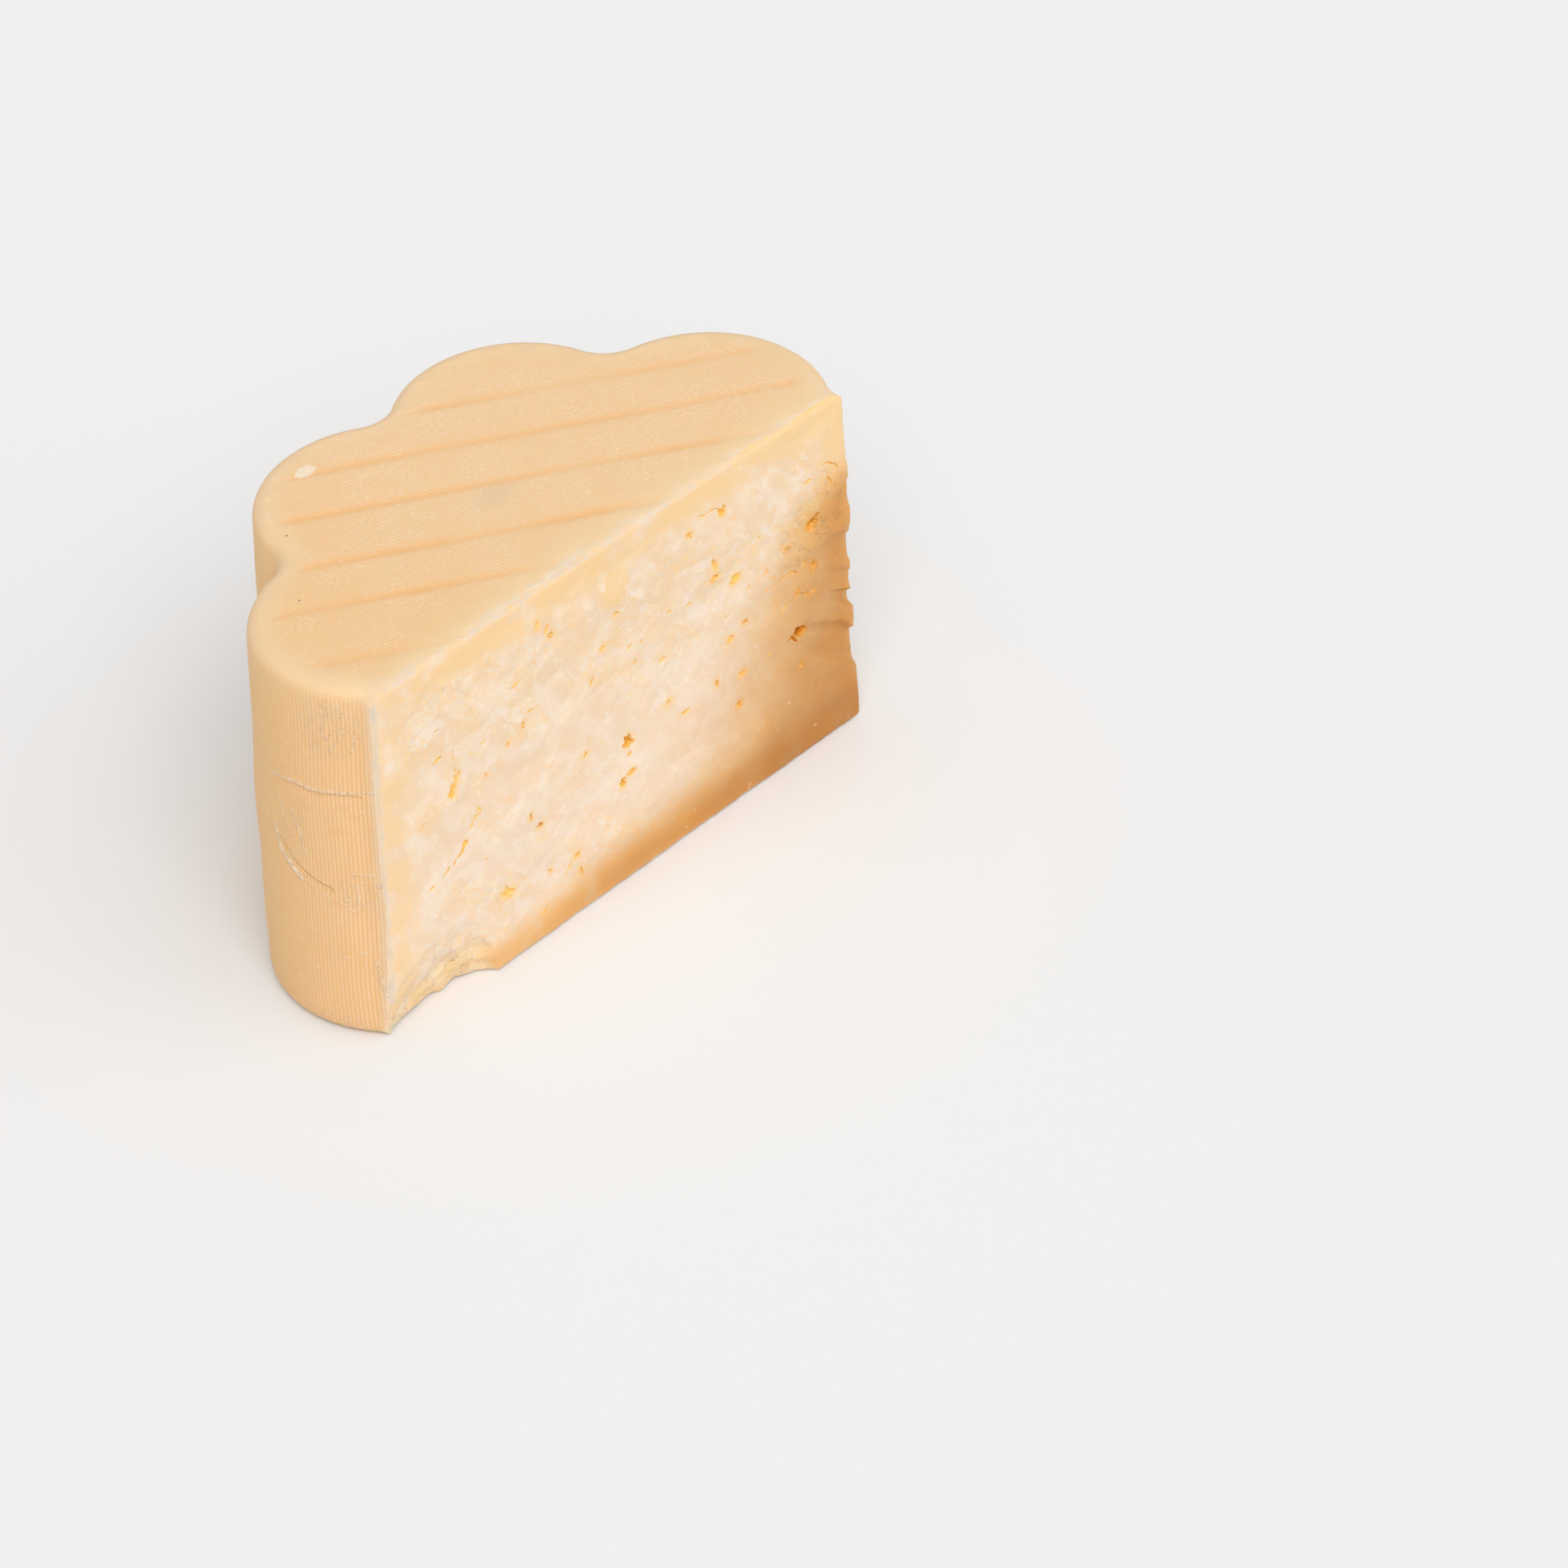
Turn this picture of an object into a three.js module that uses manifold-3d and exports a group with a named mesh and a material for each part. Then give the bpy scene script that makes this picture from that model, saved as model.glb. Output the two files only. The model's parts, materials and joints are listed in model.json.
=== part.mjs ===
// Half of a small wheel of hard, aged sheep's cheese. The wheel has eight round petals, a flat
// top and a flat base, and it was cut upright through two opposite notches, so that four whole
// petals are left. Its cut face is torn and crumbly, with small eyes and cracks in the paste, a
// chip broken out of the lower corner on the left and a ragged upright edge on the right.
//
// Millimetres. X runs along the cut, Y from the cut into the cheese and Z up. While the shape is
// made, the origin is the middle of the whole wheel's base, so that the cut lies at y = 0. At
// the end the solid is moved, so that the origin is the middle of the footprint's box.

import * as THREE from "three";
import { mergeVertices } from "three/addons/utils/BufferGeometryUtils.js";
import Module from "manifold-3d";

const wasm = await Module();
wasm.setup();
const { degToRad, lerp, smoothstep } = THREE.MathUtils;

// Driving dimensions of the wheel
const wheelWidth = 190; // over two opposite petals, at the top
const wheelHeight = 107.5;
const petalCount = 8;
const petalRadius = 32.7;
const notchRadius = 11; // of the hollow round between two petals
const edgeRounding = 3.4; // of the wheel's upper and lower edges
const baseGrowth = 1.0435; // how much wider the wheel is at its base than at its top
const flankSwell = 0.005; // how far the side swells between base and top, as a share

// How finely the wheel and the cut face are divided
const outlineStep = 3.2; // along the petals
const flankSteps = 8; // up the side
const roundingSegments = 3;
const cutStep = 2.8; // across and up the cut face
const eyeDetail = 1; // subdivisions of the icosahedron that an eye starts as

// Relief of the torn paste on the cut face: how high it is, and how long along the cut and up it
const cutWaves = { height: 0.55, along: 69, up: 46, seed: 11 };
const cutCrags = { height: 0.5, along: 22.5, up: 15, seed: 23 };
const cutFlakes = { height: 0.36, along: 10.5, up: 7, seed: 37 };
const calmEdge = { width: 12, share: 0.2 }; // beside the rind only a share of the relief is left

// The chip out of the lower left corner: where it lies along the cut, how far it reaches to
// either side of there, and its size. At its ends it reaches up only a share of its height.
const chip = { middle: -66, leftLength: 24, rightLength: 15, depth: 6.6, height: 24, endShare: 0.15 };
const chipBend = 1.1; // 1 is a straight slope from its foot to its upper edge
const chipCrumbs = { height: 0.55, along: 3, up: 3, seed: 37 };
const crumbsInside = 0.4; // the crumbs have their full height below this share of the chip

// The right end, broken instead of cut. Flakes broke out of it above a slanting ridge, and from
// a height on it stands proud of the cut. Each bite has its height above the base at the upright
// edge, its half height, its depth at that edge and how far along the cut it runs. It rises by
// the bites' slope on its way from the edge.
const ridge = { start: 57.6, height: 38.6, slope: -0.74, fade: 1.6 };
const ridgeWander = { height: 0.7, along: 4, up: 30, seed: 91 };
const proudEnd = { end: 83, length: 45, depth: 1.3, from: 60, rise: 7 };
const biteWander = { height: 1.1, along: 5, up: 14, seed: 93 };
const biteCrumbs = { height: 0.4, along: 1.8, up: 6, seed: 95 };
const biteSharpness = 6;
const biteSlope = 0.6;
const bites = [
  { height: 25.5, halfHeight: 7, depth: 2.3, length: 26 },
  { height: 40.5, halfHeight: 2.3, depth: 2.2, length: 11 },
  { height: 46.5, halfHeight: 3.6, depth: 0.9, length: 15 },
  { height: 57.5, halfHeight: 5, depth: 0.9, length: 13 },
  { height: 76.5, halfHeight: 5, depth: 0.8, length: 8 },
];

// Eyes in the paste: place along the cut, height above the base, width, height, depth and turn
const eyes = [
  { along: 65.2, up: 40.6, width: 6.4, height: 3.6, depth: 4.6, turn: -25 },
  { along: 70, up: 72.6, width: 4.2, height: 3.6, depth: 2.6, turn: 30 },
  { along: 71.6, up: 73.8, width: 2.2, height: 3.2, depth: 3.2, turn: -10 },
  { along: 70.9, up: 58.4, width: 2.4, height: 3.4, depth: 1.9, turn: -30 },
  { along: 38.6, up: 94.2, width: 2.4, height: 2.8, depth: 1.6, turn: 10 },
  { along: 0.8, up: 43.3, width: 3, height: 4.2, depth: 3, turn: 20 },
  { along: -2.5, up: 31.4, width: 2, height: 3.2, depth: 1.6, turn: 20 },
  { along: 0.7, up: 33.5, width: 2.8, height: 1.8, depth: 1.2, turn: 0 },
  { along: 42.8, up: 70.4, width: 3.4, height: 3, depth: 1, turn: -40 },
  { along: 34.9, up: 75.3, width: 3, height: 2.2, depth: 1, turn: 0 },
  { along: 35, up: 79.5, width: 1.8, height: 4.6, depth: 0.7, turn: 10 },
  { along: 41.5, up: 30.8, width: 1.8, height: 2.8, depth: 1.3, turn: 10 },
  { along: 43, up: 39.8, width: 3, height: 1.6, depth: 0.9, turn: 30 },
  { along: -31.8, up: 36.1, width: 2.2, height: 1.6, depth: 1.9, turn: -20 },
  { along: -60.9, up: 65, width: 2.5, height: 4.4, depth: 1.2, turn: -12 },
  { along: -59, up: 68.2, width: 1.5, height: 5.2, depth: 0.8, turn: -35 },
  { along: -23.8, up: 91.9, width: 2.4, height: 1.8, depth: 1, turn: -10 },
  { along: 39.5, up: 52.9, width: 2.6, height: 2, depth: 1, turn: 25 },
  { along: 61.2, up: 69.5, width: 2.6, height: 1.4, depth: 1.1, turn: 0 },
  { along: -45.4, up: 22.8, width: 5.4, height: 2.8, depth: 0.8, turn: -25 },
];
const eyeRoughness = 0.22; // how far an eye's wall strays from round, as a share

// Cracks in the paste: the points that each runs through, as [along, up], its width and depth
const cracks = [
  { points: [[-57.4, 46.8], [-59.5, 44.6], [-62.4, 42.6], [-66, 41.2]], width: 1.7, depth: 1.1 },
  { points: [[64.6, 55.2], [64.3, 53], [68.5, 51.2], [72.2, 50.2]], width: 1, depth: 0.8 },
  { points: [[75, 89], [77.6, 88.2], [80.4, 85.6]], width: 0.9, depth: 0.6 },
];

// Where the centres of the petals and of the hollow rounds between them lie
const halfTurn = Math.PI / petalCount;
const petalDistance = wheelWidth / 2 - petalRadius;
const petalAcross = petalDistance * Math.cos(halfTurn);
const rolledReach = petalRadius + notchRadius;
const notchDistance = petalAcross + Math.sqrt(petalAcross ** 2 - petalDistance ** 2 + rolledReach ** 2);

/** How wide the wheel is at a height, as a share of its width at the top. */
function widthShare(z) {
  const level = z / wheelHeight;
  return lerp(baseGrowth, 1, level) + 4 * flankSwell * level * (1 - level);
}

/** A repeatable random number from 0 to 1 for a whole-numbered place and a seed. */
function lattice(column, row, seed) {
  let bits = (column * 374761393 + row * 668265263 + seed * 144665) | 0;
  bits = Math.imul(bits ^ (bits >>> 13), 1274126177);
  bits ^= bits >>> 16;
  return (bits >>> 0) / 4294967295;
}

/** Smooth random relief from -1 to 1, with bumps about one unit across. */
function noise(x, y, seed) {
  const column = Math.floor(x);
  const row = Math.floor(y);
  const across = smoothstep(x - column, 0, 1);
  const up = smoothstep(y - row, 0, 1);
  const lower = lerp(lattice(column, row, seed), lattice(column + 1, row, seed), across);
  const upper = lerp(lattice(column, row + 1, seed), lattice(column + 1, row + 1, seed), across);
  return 2 * lerp(lower, upper, up) - 1;
}

/** One layer of the torn relief at a place on the cut. */
function relief(layer, x, z) {
  return layer.height * noise(x / layer.along, z / layer.up, layer.seed);
}

/** How much of the torn relief is left at a place on the cut: all of it, or less beside the rind. */
function calmness(x, z) {
  const halfWidth = (notchDistance - notchRadius) * widthShare(z);
  const fromRind = Math.min(z, wheelHeight - z, halfWidth - Math.abs(x));
  return lerp(calmEdge.share, 1, smoothstep(fromRind, 0, calmEdge.width));
}

/** How deep the chip in the lower left corner goes at a place on the cut. */
function chipDepth(x, z) {
  const across = (x - chip.middle) / (x < chip.middle ? chip.leftLength : chip.rightLength);
  if (Math.abs(across) >= 1) return 0;
  const round = Math.sqrt(1 - across * across);
  const left = 1 - z / (chip.height * lerp(chip.endShare, 1, round));
  if (left <= 0) return 0;
  const crumbs = relief(chipCrumbs, x, z) * Math.sqrt(Math.min(left / crumbsInside, 1));
  return Math.max(0, chip.depth * round * left ** chipBend + crumbs);
}

/** How deep the flakes that broke out of the right end go at a place on the cut. */
function biteDepth(x, z) {
  const wander = relief(biteWander, x, z) + relief(biteCrumbs, x, z);
  const rise = biteSlope * (proudEnd.end - x);
  const depths = bites.map((bite) => {
    const away = (z + wander - bite.height - rise) / bite.halfHeight;
    const reach = smoothstep(x + 2 * wander, proudEnd.end - bite.length, proudEnd.end);
    return bite.depth * Math.max(0, 1 - away ** biteSharpness) * reach;
  });
  return Math.max(0, ...depths);
}

/** How deep the broken right end goes at a place on the cut, less what stands proud of it. */
function brokenDepth(x, z) {
  const level = ridge.height + ridge.slope * (x - ridge.start) + relief(ridgeWander, x, z);
  const above = smoothstep(z, level - ridge.fade, level + ridge.fade);
  const along = smoothstep(x, proudEnd.end - proudEnd.length, proudEnd.end);
  const up = smoothstep(z, proudEnd.from, proudEnd.from + proudEnd.rise);
  return biteDepth(x, z) * above - proudEnd.depth * along * up;
}

/** How far the cut face lies inside the plane of the cut, at a place on it. */
function cutDepth(x, z) {
  const torn = relief(cutWaves, x, z) + relief(cutCrags, x, z) + relief(cutFlakes, x, z);
  return torn * calmness(x, z) + chipDepth(x, z) + brokenDepth(x, z);
}

/** Points of an arc, without its last point, spaced evenly at about the outline's step. */
function arcPoints(centre, radius, start, end) {
  const count = Math.max(4, Math.round((Math.abs(end - start) * radius) / outlineStep));
  return Array.from({ length: count }, (_, index) => {
    const angle = start + ((end - start) * index) / count;
    return new THREE.Vector2(centre.x + radius * Math.cos(angle), centre.y + radius * Math.sin(angle));
  });
}

/** The wheel's outline at its top: a round petal and a hollow round in turn. */
function wheelOutline() {
  const notchRise = notchDistance * Math.sin(halfTurn);
  const notchRun = notchDistance * Math.cos(halfTurn) - petalDistance;
  const petalTurn = Math.atan2(notchRise, notchRun);
  const notchTurn = petalTurn - halfTurn;
  const points = [];
  for (let petal = 0; petal < petalCount; petal++) {
    const middle = (2 * petal + 1) * halfTurn;
    const next = middle + halfTurn;
    const petalCentre = new THREE.Vector2(Math.cos(middle), Math.sin(middle)).multiplyScalar(petalDistance);
    const notchCentre = new THREE.Vector2(Math.cos(next), Math.sin(next)).multiplyScalar(notchDistance);
    points.push(...arcPoints(petalCentre, petalRadius, middle - petalTurn, middle + petalTurn));
    const inward = next + Math.PI;
    points.push(...arcPoints(notchCentre, notchRadius, inward + notchTurn, inward - notchTurn));
  }
  return new THREE.Shape(points);
}

/** The whole wheel: the outline raised with rounded edges, then tapered and swollen. */
function wheelGeometry() {
  const geometry = new THREE.ExtrudeGeometry(wheelOutline(), {
    depth: wheelHeight - 2 * edgeRounding,
    steps: flankSteps,
    bevelEnabled: true,
    bevelThickness: edgeRounding,
    bevelSize: edgeRounding,
    bevelOffset: -edgeRounding,
    bevelSegments: roundingSegments,
  });
  geometry.translate(0, 0, edgeRounding);
  const position = geometry.attributes.position;
  for (let index = 0; index < position.count; index++) {
    const scale = widthShare(position.getZ(index));
    position.setXY(index, position.getX(index) * scale, position.getY(index) * scale);
  }
  return geometry;
}

/** The half that the cut takes away: a block whose side at the cut carries the torn relief. */
function cutterGeometry() {
  const margin = 12;
  const length = wheelWidth * baseGrowth + 2 * margin;
  const height = wheelHeight + 2 * margin;
  const columns = Math.round(length / cutStep);
  const rows = Math.round(height / cutStep);
  const geometry = new THREE.BoxGeometry(length, wheelWidth, height, columns, 1, rows);
  geometry.translate(0, -wheelWidth / 2, wheelHeight / 2);
  const position = geometry.attributes.position;
  const nearCut = 1;
  for (let index = 0; index < position.count; index++) {
    if (position.getY(index) < -nearCut) continue;
    position.setY(index, cutDepth(position.getX(index), position.getZ(index)));
  }
  return geometry;
}

/** A rough round hollow of one unit's radius. */
function roughBall(seed) {
  const geometry = new THREE.IcosahedronGeometry(1, eyeDetail);
  const position = geometry.attributes.position;
  const point = new THREE.Vector3();
  for (let index = 0; index < position.count; index++) {
    point.fromBufferAttribute(position, index);
    const stray = noise(2 * point.x + point.y + seed, 2 * point.z - point.y, seed);
    point.multiplyScalar(1 + eyeRoughness * stray);
    position.setXYZ(index, point.x, point.y, point.z);
  }
  return geometry;
}

/** The hollow of one eye, with its middle on the torn face. */
function eyeGeometry(eye, index) {
  const geometry = roughBall(index + 1);
  geometry.scale(eye.width / 2, eye.depth, eye.height / 2);
  geometry.rotateY(-degToRad(eye.turn));
  geometry.translate(eye.along, cutDepth(eye.along, eye.up), eye.up);
  return geometry;
}

/** The hollows of one crack: a long thin one for each stretch between two of its points. */
function crackGeometries(crack, crackIndex) {
  const overlap = 1.15;
  return crack.points.slice(1).map((end, index) => {
    const start = crack.points[index];
    const run = new THREE.Vector2(end[0] - start[0], end[1] - start[1]);
    const middle = new THREE.Vector2((start[0] + end[0]) / 2, (start[1] + end[1]) / 2);
    const geometry = roughBall(100 * (crackIndex + 1) + index);
    geometry.scale((overlap * run.length()) / 2, crack.depth, crack.width / 2);
    geometry.rotateY(-run.angle());
    geometry.translate(middle.x, cutDepth(middle.x, middle.y), middle.y);
    return geometry;
  });
}

/** A solid from a closed geometry. */
function solidFrom(geometry) {
  const plain = geometry.clone();
  plain.deleteAttribute("normal");
  plain.deleteAttribute("uv");
  const merged = mergeVertices(plain, 1e-4);
  const vertProperties = new Float32Array(merged.attributes.position.array);
  const triVerts = new Uint32Array(merged.index.array);
  return new wasm.Manifold(new wasm.Mesh({ numProp: 3, vertProperties, triVerts }));
}

/** A geometry from a solid, with its origin at the middle of its footprint's box. */
function geometryFrom(solid) {
  const { vertProperties, triVerts } = solid.getMesh();
  const geometry = new THREE.BufferGeometry();
  geometry.setAttribute("position", new THREE.BufferAttribute(vertProperties, 3));
  geometry.setIndex(new THREE.BufferAttribute(triVerts, 1));
  geometry.computeBoundingBox();
  const { min, max } = geometry.boundingBox;
  geometry.translate(-(min.x + max.x) / 2, -(min.y + max.y) / 2, -min.z);
  geometry.computeVertexNormals();
  return geometry;
}

/** The half wheel: the whole wheel less the cutter, the eyes and the cracks. */
function halfCheeseGeometry() {
  const hollows = [...eyes.map(eyeGeometry), ...cracks.flatMap(crackGeometries)];
  let solid = solidFrom(wheelGeometry()).subtract(solidFrom(cutterGeometry()));
  for (const hollow of hollows) {
    solid = solid.subtract(solidFrom(hollow));
  }
  return geometryFrom(solid);
}

const paste = new THREE.MeshStandardMaterial({ color: 0xf0cfa0, roughness: 0.55, metalness: 0 });

const cheese = new THREE.Mesh(halfCheeseGeometry(), paste);
cheese.name = "cheese_half";

const model = new THREE.Group();
model.add(cheese);

export default model;
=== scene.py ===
"""Half of a small, eight-petalled wheel of aged sheep's cheese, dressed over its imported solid.

The half wheel stands on its base. Its cut face is torn and crumbly, its side carries the fine
upright ribs of the mould and its top the lines and grooves of the board that it was pressed
under. Lengths are metres, X runs along the cut, Y into the cheese and Z up.
"""

import json
import logging
import math
from dataclasses import dataclass, field
from enum import Enum

import bpy
import numpy as np
from mathutils import Matrix, Vector

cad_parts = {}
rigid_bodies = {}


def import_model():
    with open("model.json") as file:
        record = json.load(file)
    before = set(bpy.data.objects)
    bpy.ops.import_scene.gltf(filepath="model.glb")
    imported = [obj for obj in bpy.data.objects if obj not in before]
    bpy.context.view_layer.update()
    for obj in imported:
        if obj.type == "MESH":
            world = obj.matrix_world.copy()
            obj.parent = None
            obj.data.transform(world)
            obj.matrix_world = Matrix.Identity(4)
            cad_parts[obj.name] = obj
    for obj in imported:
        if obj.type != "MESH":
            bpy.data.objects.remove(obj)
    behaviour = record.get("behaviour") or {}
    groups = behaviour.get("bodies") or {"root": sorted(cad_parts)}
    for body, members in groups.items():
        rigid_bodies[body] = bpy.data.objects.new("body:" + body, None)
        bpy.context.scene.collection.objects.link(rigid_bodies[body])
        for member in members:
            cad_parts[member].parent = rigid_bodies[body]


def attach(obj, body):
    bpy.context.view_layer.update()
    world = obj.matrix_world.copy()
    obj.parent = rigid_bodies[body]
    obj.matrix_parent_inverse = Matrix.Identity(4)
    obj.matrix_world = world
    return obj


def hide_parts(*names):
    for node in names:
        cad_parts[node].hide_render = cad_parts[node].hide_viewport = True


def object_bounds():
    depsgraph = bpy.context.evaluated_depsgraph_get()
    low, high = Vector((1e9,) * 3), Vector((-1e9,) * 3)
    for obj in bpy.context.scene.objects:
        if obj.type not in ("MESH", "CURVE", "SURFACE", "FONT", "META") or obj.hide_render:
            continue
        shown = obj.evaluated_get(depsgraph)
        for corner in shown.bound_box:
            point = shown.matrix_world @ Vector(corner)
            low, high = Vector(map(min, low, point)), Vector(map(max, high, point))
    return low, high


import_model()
CAD_LOW, CAD_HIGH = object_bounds()

log = logging.getLogger("aged_cheese")
MM = 0.001
CHEESE_NODE = "cheese_half"
ROOT_BODY = "root"


class Skin(Enum):
    """The surfaces of the cheese, by the place of their material on the piece."""

    RIND = 0
    PASTE = 1


def smoothstep(value: np.ndarray, low: float, high: float) -> np.ndarray:
    """A smooth step.

    Args:
        value: The values to map.
        low: Where the step starts.
        high: Where it ends.

    Returns:
        0 below low, 1 above high and a smooth rise between them.
    """
    share = np.clip((value - low) / (high - low), 0.0, 1.0)
    return share * share * (3.0 - 2.0 * share)


def lattice(column: np.ndarray, row: np.ndarray, seed: int) -> np.ndarray:
    """Repeatable random numbers from 0 to 1 for whole-numbered places.

    Args:
        column: Whole numbers along the first axis.
        row: Whole numbers along the second axis.
        seed: The number that picks the pattern.

    Returns:
        One number for each place.
    """
    mask = np.uint64(0xFFFFFFFF)
    mixed = column.astype(np.int64) * 374761393 + row.astype(np.int64) * 668265263 + seed * 144665
    bits = mixed.astype(np.uint64) & mask
    bits = ((bits ^ (bits >> np.uint64(13))) * np.uint64(1274126177)) & mask
    bits = bits ^ (bits >> np.uint64(16))
    return bits.astype(np.float64) / 4294967296.0


def bumps(x: np.ndarray, y: np.ndarray, seed: int) -> np.ndarray:
    """Smooth random relief with bumps about one unit across.

    Args:
        x: Places along the first axis.
        y: Places along the second axis.
        seed: The number that picks the pattern.

    Returns:
        Heights from -1 to 1.
    """
    column, row = np.floor(x), np.floor(y)
    across, up = smoothstep(x - column, 0.0, 1.0), smoothstep(y - row, 0.0, 1.0)
    lower = lattice(column, row, seed) * (1 - across) + lattice(column + 1, row, seed) * across
    upper = lattice(column, row + 1, seed) * (1 - across) + lattice(column + 1, row + 1, seed) * across
    return 2.0 * (lower * (1 - up) + upper * up) - 1.0


@dataclass
class WheelForm:
    """The whole wheel that the half was cut from, with its middle at the origin.

    Attributes:
        height: Its height.
        reach: How far its petals reach along X at the widest level.
        petal_count: How many petals it has.
        petal_radius: The radius of a petal.
        notch_radius: The radius of the hollow between two petals.
        edge_rounding: The rounding of its upper and lower edges.
        base_growth: How much wider it is at its base than at its top.
        flank_swell: How far its side swells between base and top, as a share.
    """

    height: float
    reach: float
    petal_count: int = 8
    petal_radius: float = 32.7 * MM
    notch_radius: float = 11.0 * MM
    edge_rounding: float = 3.4 * MM
    base_growth: float = 1.0435
    flank_swell: float = 0.005

    def __post_init__(self) -> None:
        """Works out where the petals and notches have their centres, and how long they are."""
        self.half_turn = math.pi / self.petal_count
        widest = float(self.scale_at(np.array([self.edge_rounding]))[0])
        self.petal_distance = (self.reach / widest - self.petal_radius) / math.cos(self.half_turn)
        along = self.petal_distance * math.cos(self.half_turn)
        rolled = self.petal_radius + self.notch_radius
        self.notch_distance = along + math.sqrt(along**2 - self.petal_distance**2 + rolled**2)
        rise = self.notch_distance * math.sin(self.half_turn)
        run = self.notch_distance * math.cos(self.half_turn) - self.petal_distance
        self.petal_turn = math.atan2(rise, run)
        self.petal_length = 2.0 * self.petal_turn * self.petal_radius
        self.notch_length = 2.0 * (self.petal_turn - self.half_turn) * self.notch_radius
        self.cell_length = self.petal_length + self.notch_length
        self.notch_reach = self.notch_distance - self.notch_radius

    def scale_at(self, z: np.ndarray) -> np.ndarray:
        """How wide the wheel is at a height, as a share of its width at the top."""
        level = z / self.height
        swell = 4.0 * self.flank_swell * level * (1.0 - level)
        return self.base_growth + (1.0 - self.base_growth) * level + swell

    def outline(self, around: np.ndarray) -> tuple[np.ndarray, np.ndarray]:
        """Points of the outline at the top.

        Args:
            around: Distances along the outline from the notch on the X axis.

        Returns:
            The points and the directions square to the outline, pointing out.
        """
        cell = np.floor(around / self.cell_length)
        from_middle = around - (cell + 0.5) * self.cell_length
        side = np.where(from_middle < 0.0, -1.0, 1.0)
        on_petal = np.abs(from_middle) <= self.petal_length / 2
        petal_angle = from_middle / self.petal_radius
        past = np.abs(from_middle) - self.petal_length / 2
        notch_angle = self.petal_turn + math.pi - past / self.notch_radius
        petal_x = self.petal_distance + self.petal_radius * np.cos(petal_angle)
        petal_y = self.petal_radius * np.sin(petal_angle)
        centre_x = self.notch_distance * math.cos(self.half_turn)
        centre_y = self.notch_distance * math.sin(self.half_turn)
        notch_x = centre_x + self.notch_radius * np.cos(notch_angle)
        notch_y = side * (centre_y + self.notch_radius * np.sin(notch_angle))
        local = np.stack([np.where(on_petal, petal_x, notch_x), np.where(on_petal, petal_y, notch_y)], 1)
        normal_x = np.where(on_petal, np.cos(petal_angle), -np.cos(notch_angle))
        normal_y = np.where(on_petal, np.sin(petal_angle), -side * np.sin(notch_angle))
        middle = (2.0 * cell + 1.0) * self.half_turn
        cosine, sine = np.cos(middle), np.sin(middle)
        points = np.stack([local[:, 0] * cosine - local[:, 1] * sine, local[:, 0] * sine + local[:, 1] * cosine], 1)
        normals = np.stack([normal_x * cosine - normal_y * sine, normal_x * sine + normal_y * cosine], 1)
        return points, normals

    def around_from_angle(self, angle: np.ndarray, inset: float) -> np.ndarray:
        """The distance along the outline at which a direction from the middle meets it.

        Args:
            angle: Directions from the middle, in radians from the X axis.
            inset: How far inside the outline the ring lies that is met.

        Returns:
            One distance for each direction.
        """
        samples = 4000
        around = np.linspace(-0.5, self.petal_count - 0.5, samples) * self.cell_length
        points, normals = self.outline(around)
        ring = points - inset * normals
        turned = np.unwrap(np.arctan2(ring[:, 1], ring[:, 0]))
        return np.interp(angle, turned, around)

    def rim_distance(self, x: np.ndarray, y: np.ndarray) -> np.ndarray:
        """How far points of the top lie inside the outline at the top."""
        samples = 1200
        around = np.linspace(-0.2, self.petal_count / 2 + 0.2, samples) * self.cell_length
        points, _ = self.outline(around)
        nearest = np.full(len(x), np.inf)
        for start in range(0, samples, 100):
            block = points[start : start + 100]
            gap = (x[:, None] - block[None, :, 0]) ** 2 + (y[:, None] - block[None, :, 1]) ** 2
            nearest = np.minimum(nearest, gap.min(axis=1))
        return np.sqrt(nearest)


@dataclass
class Groove:
    """A broad groove over the top: its distance from the wheel's middle, width and depth."""

    offset: float
    width: float
    depth: float


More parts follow.
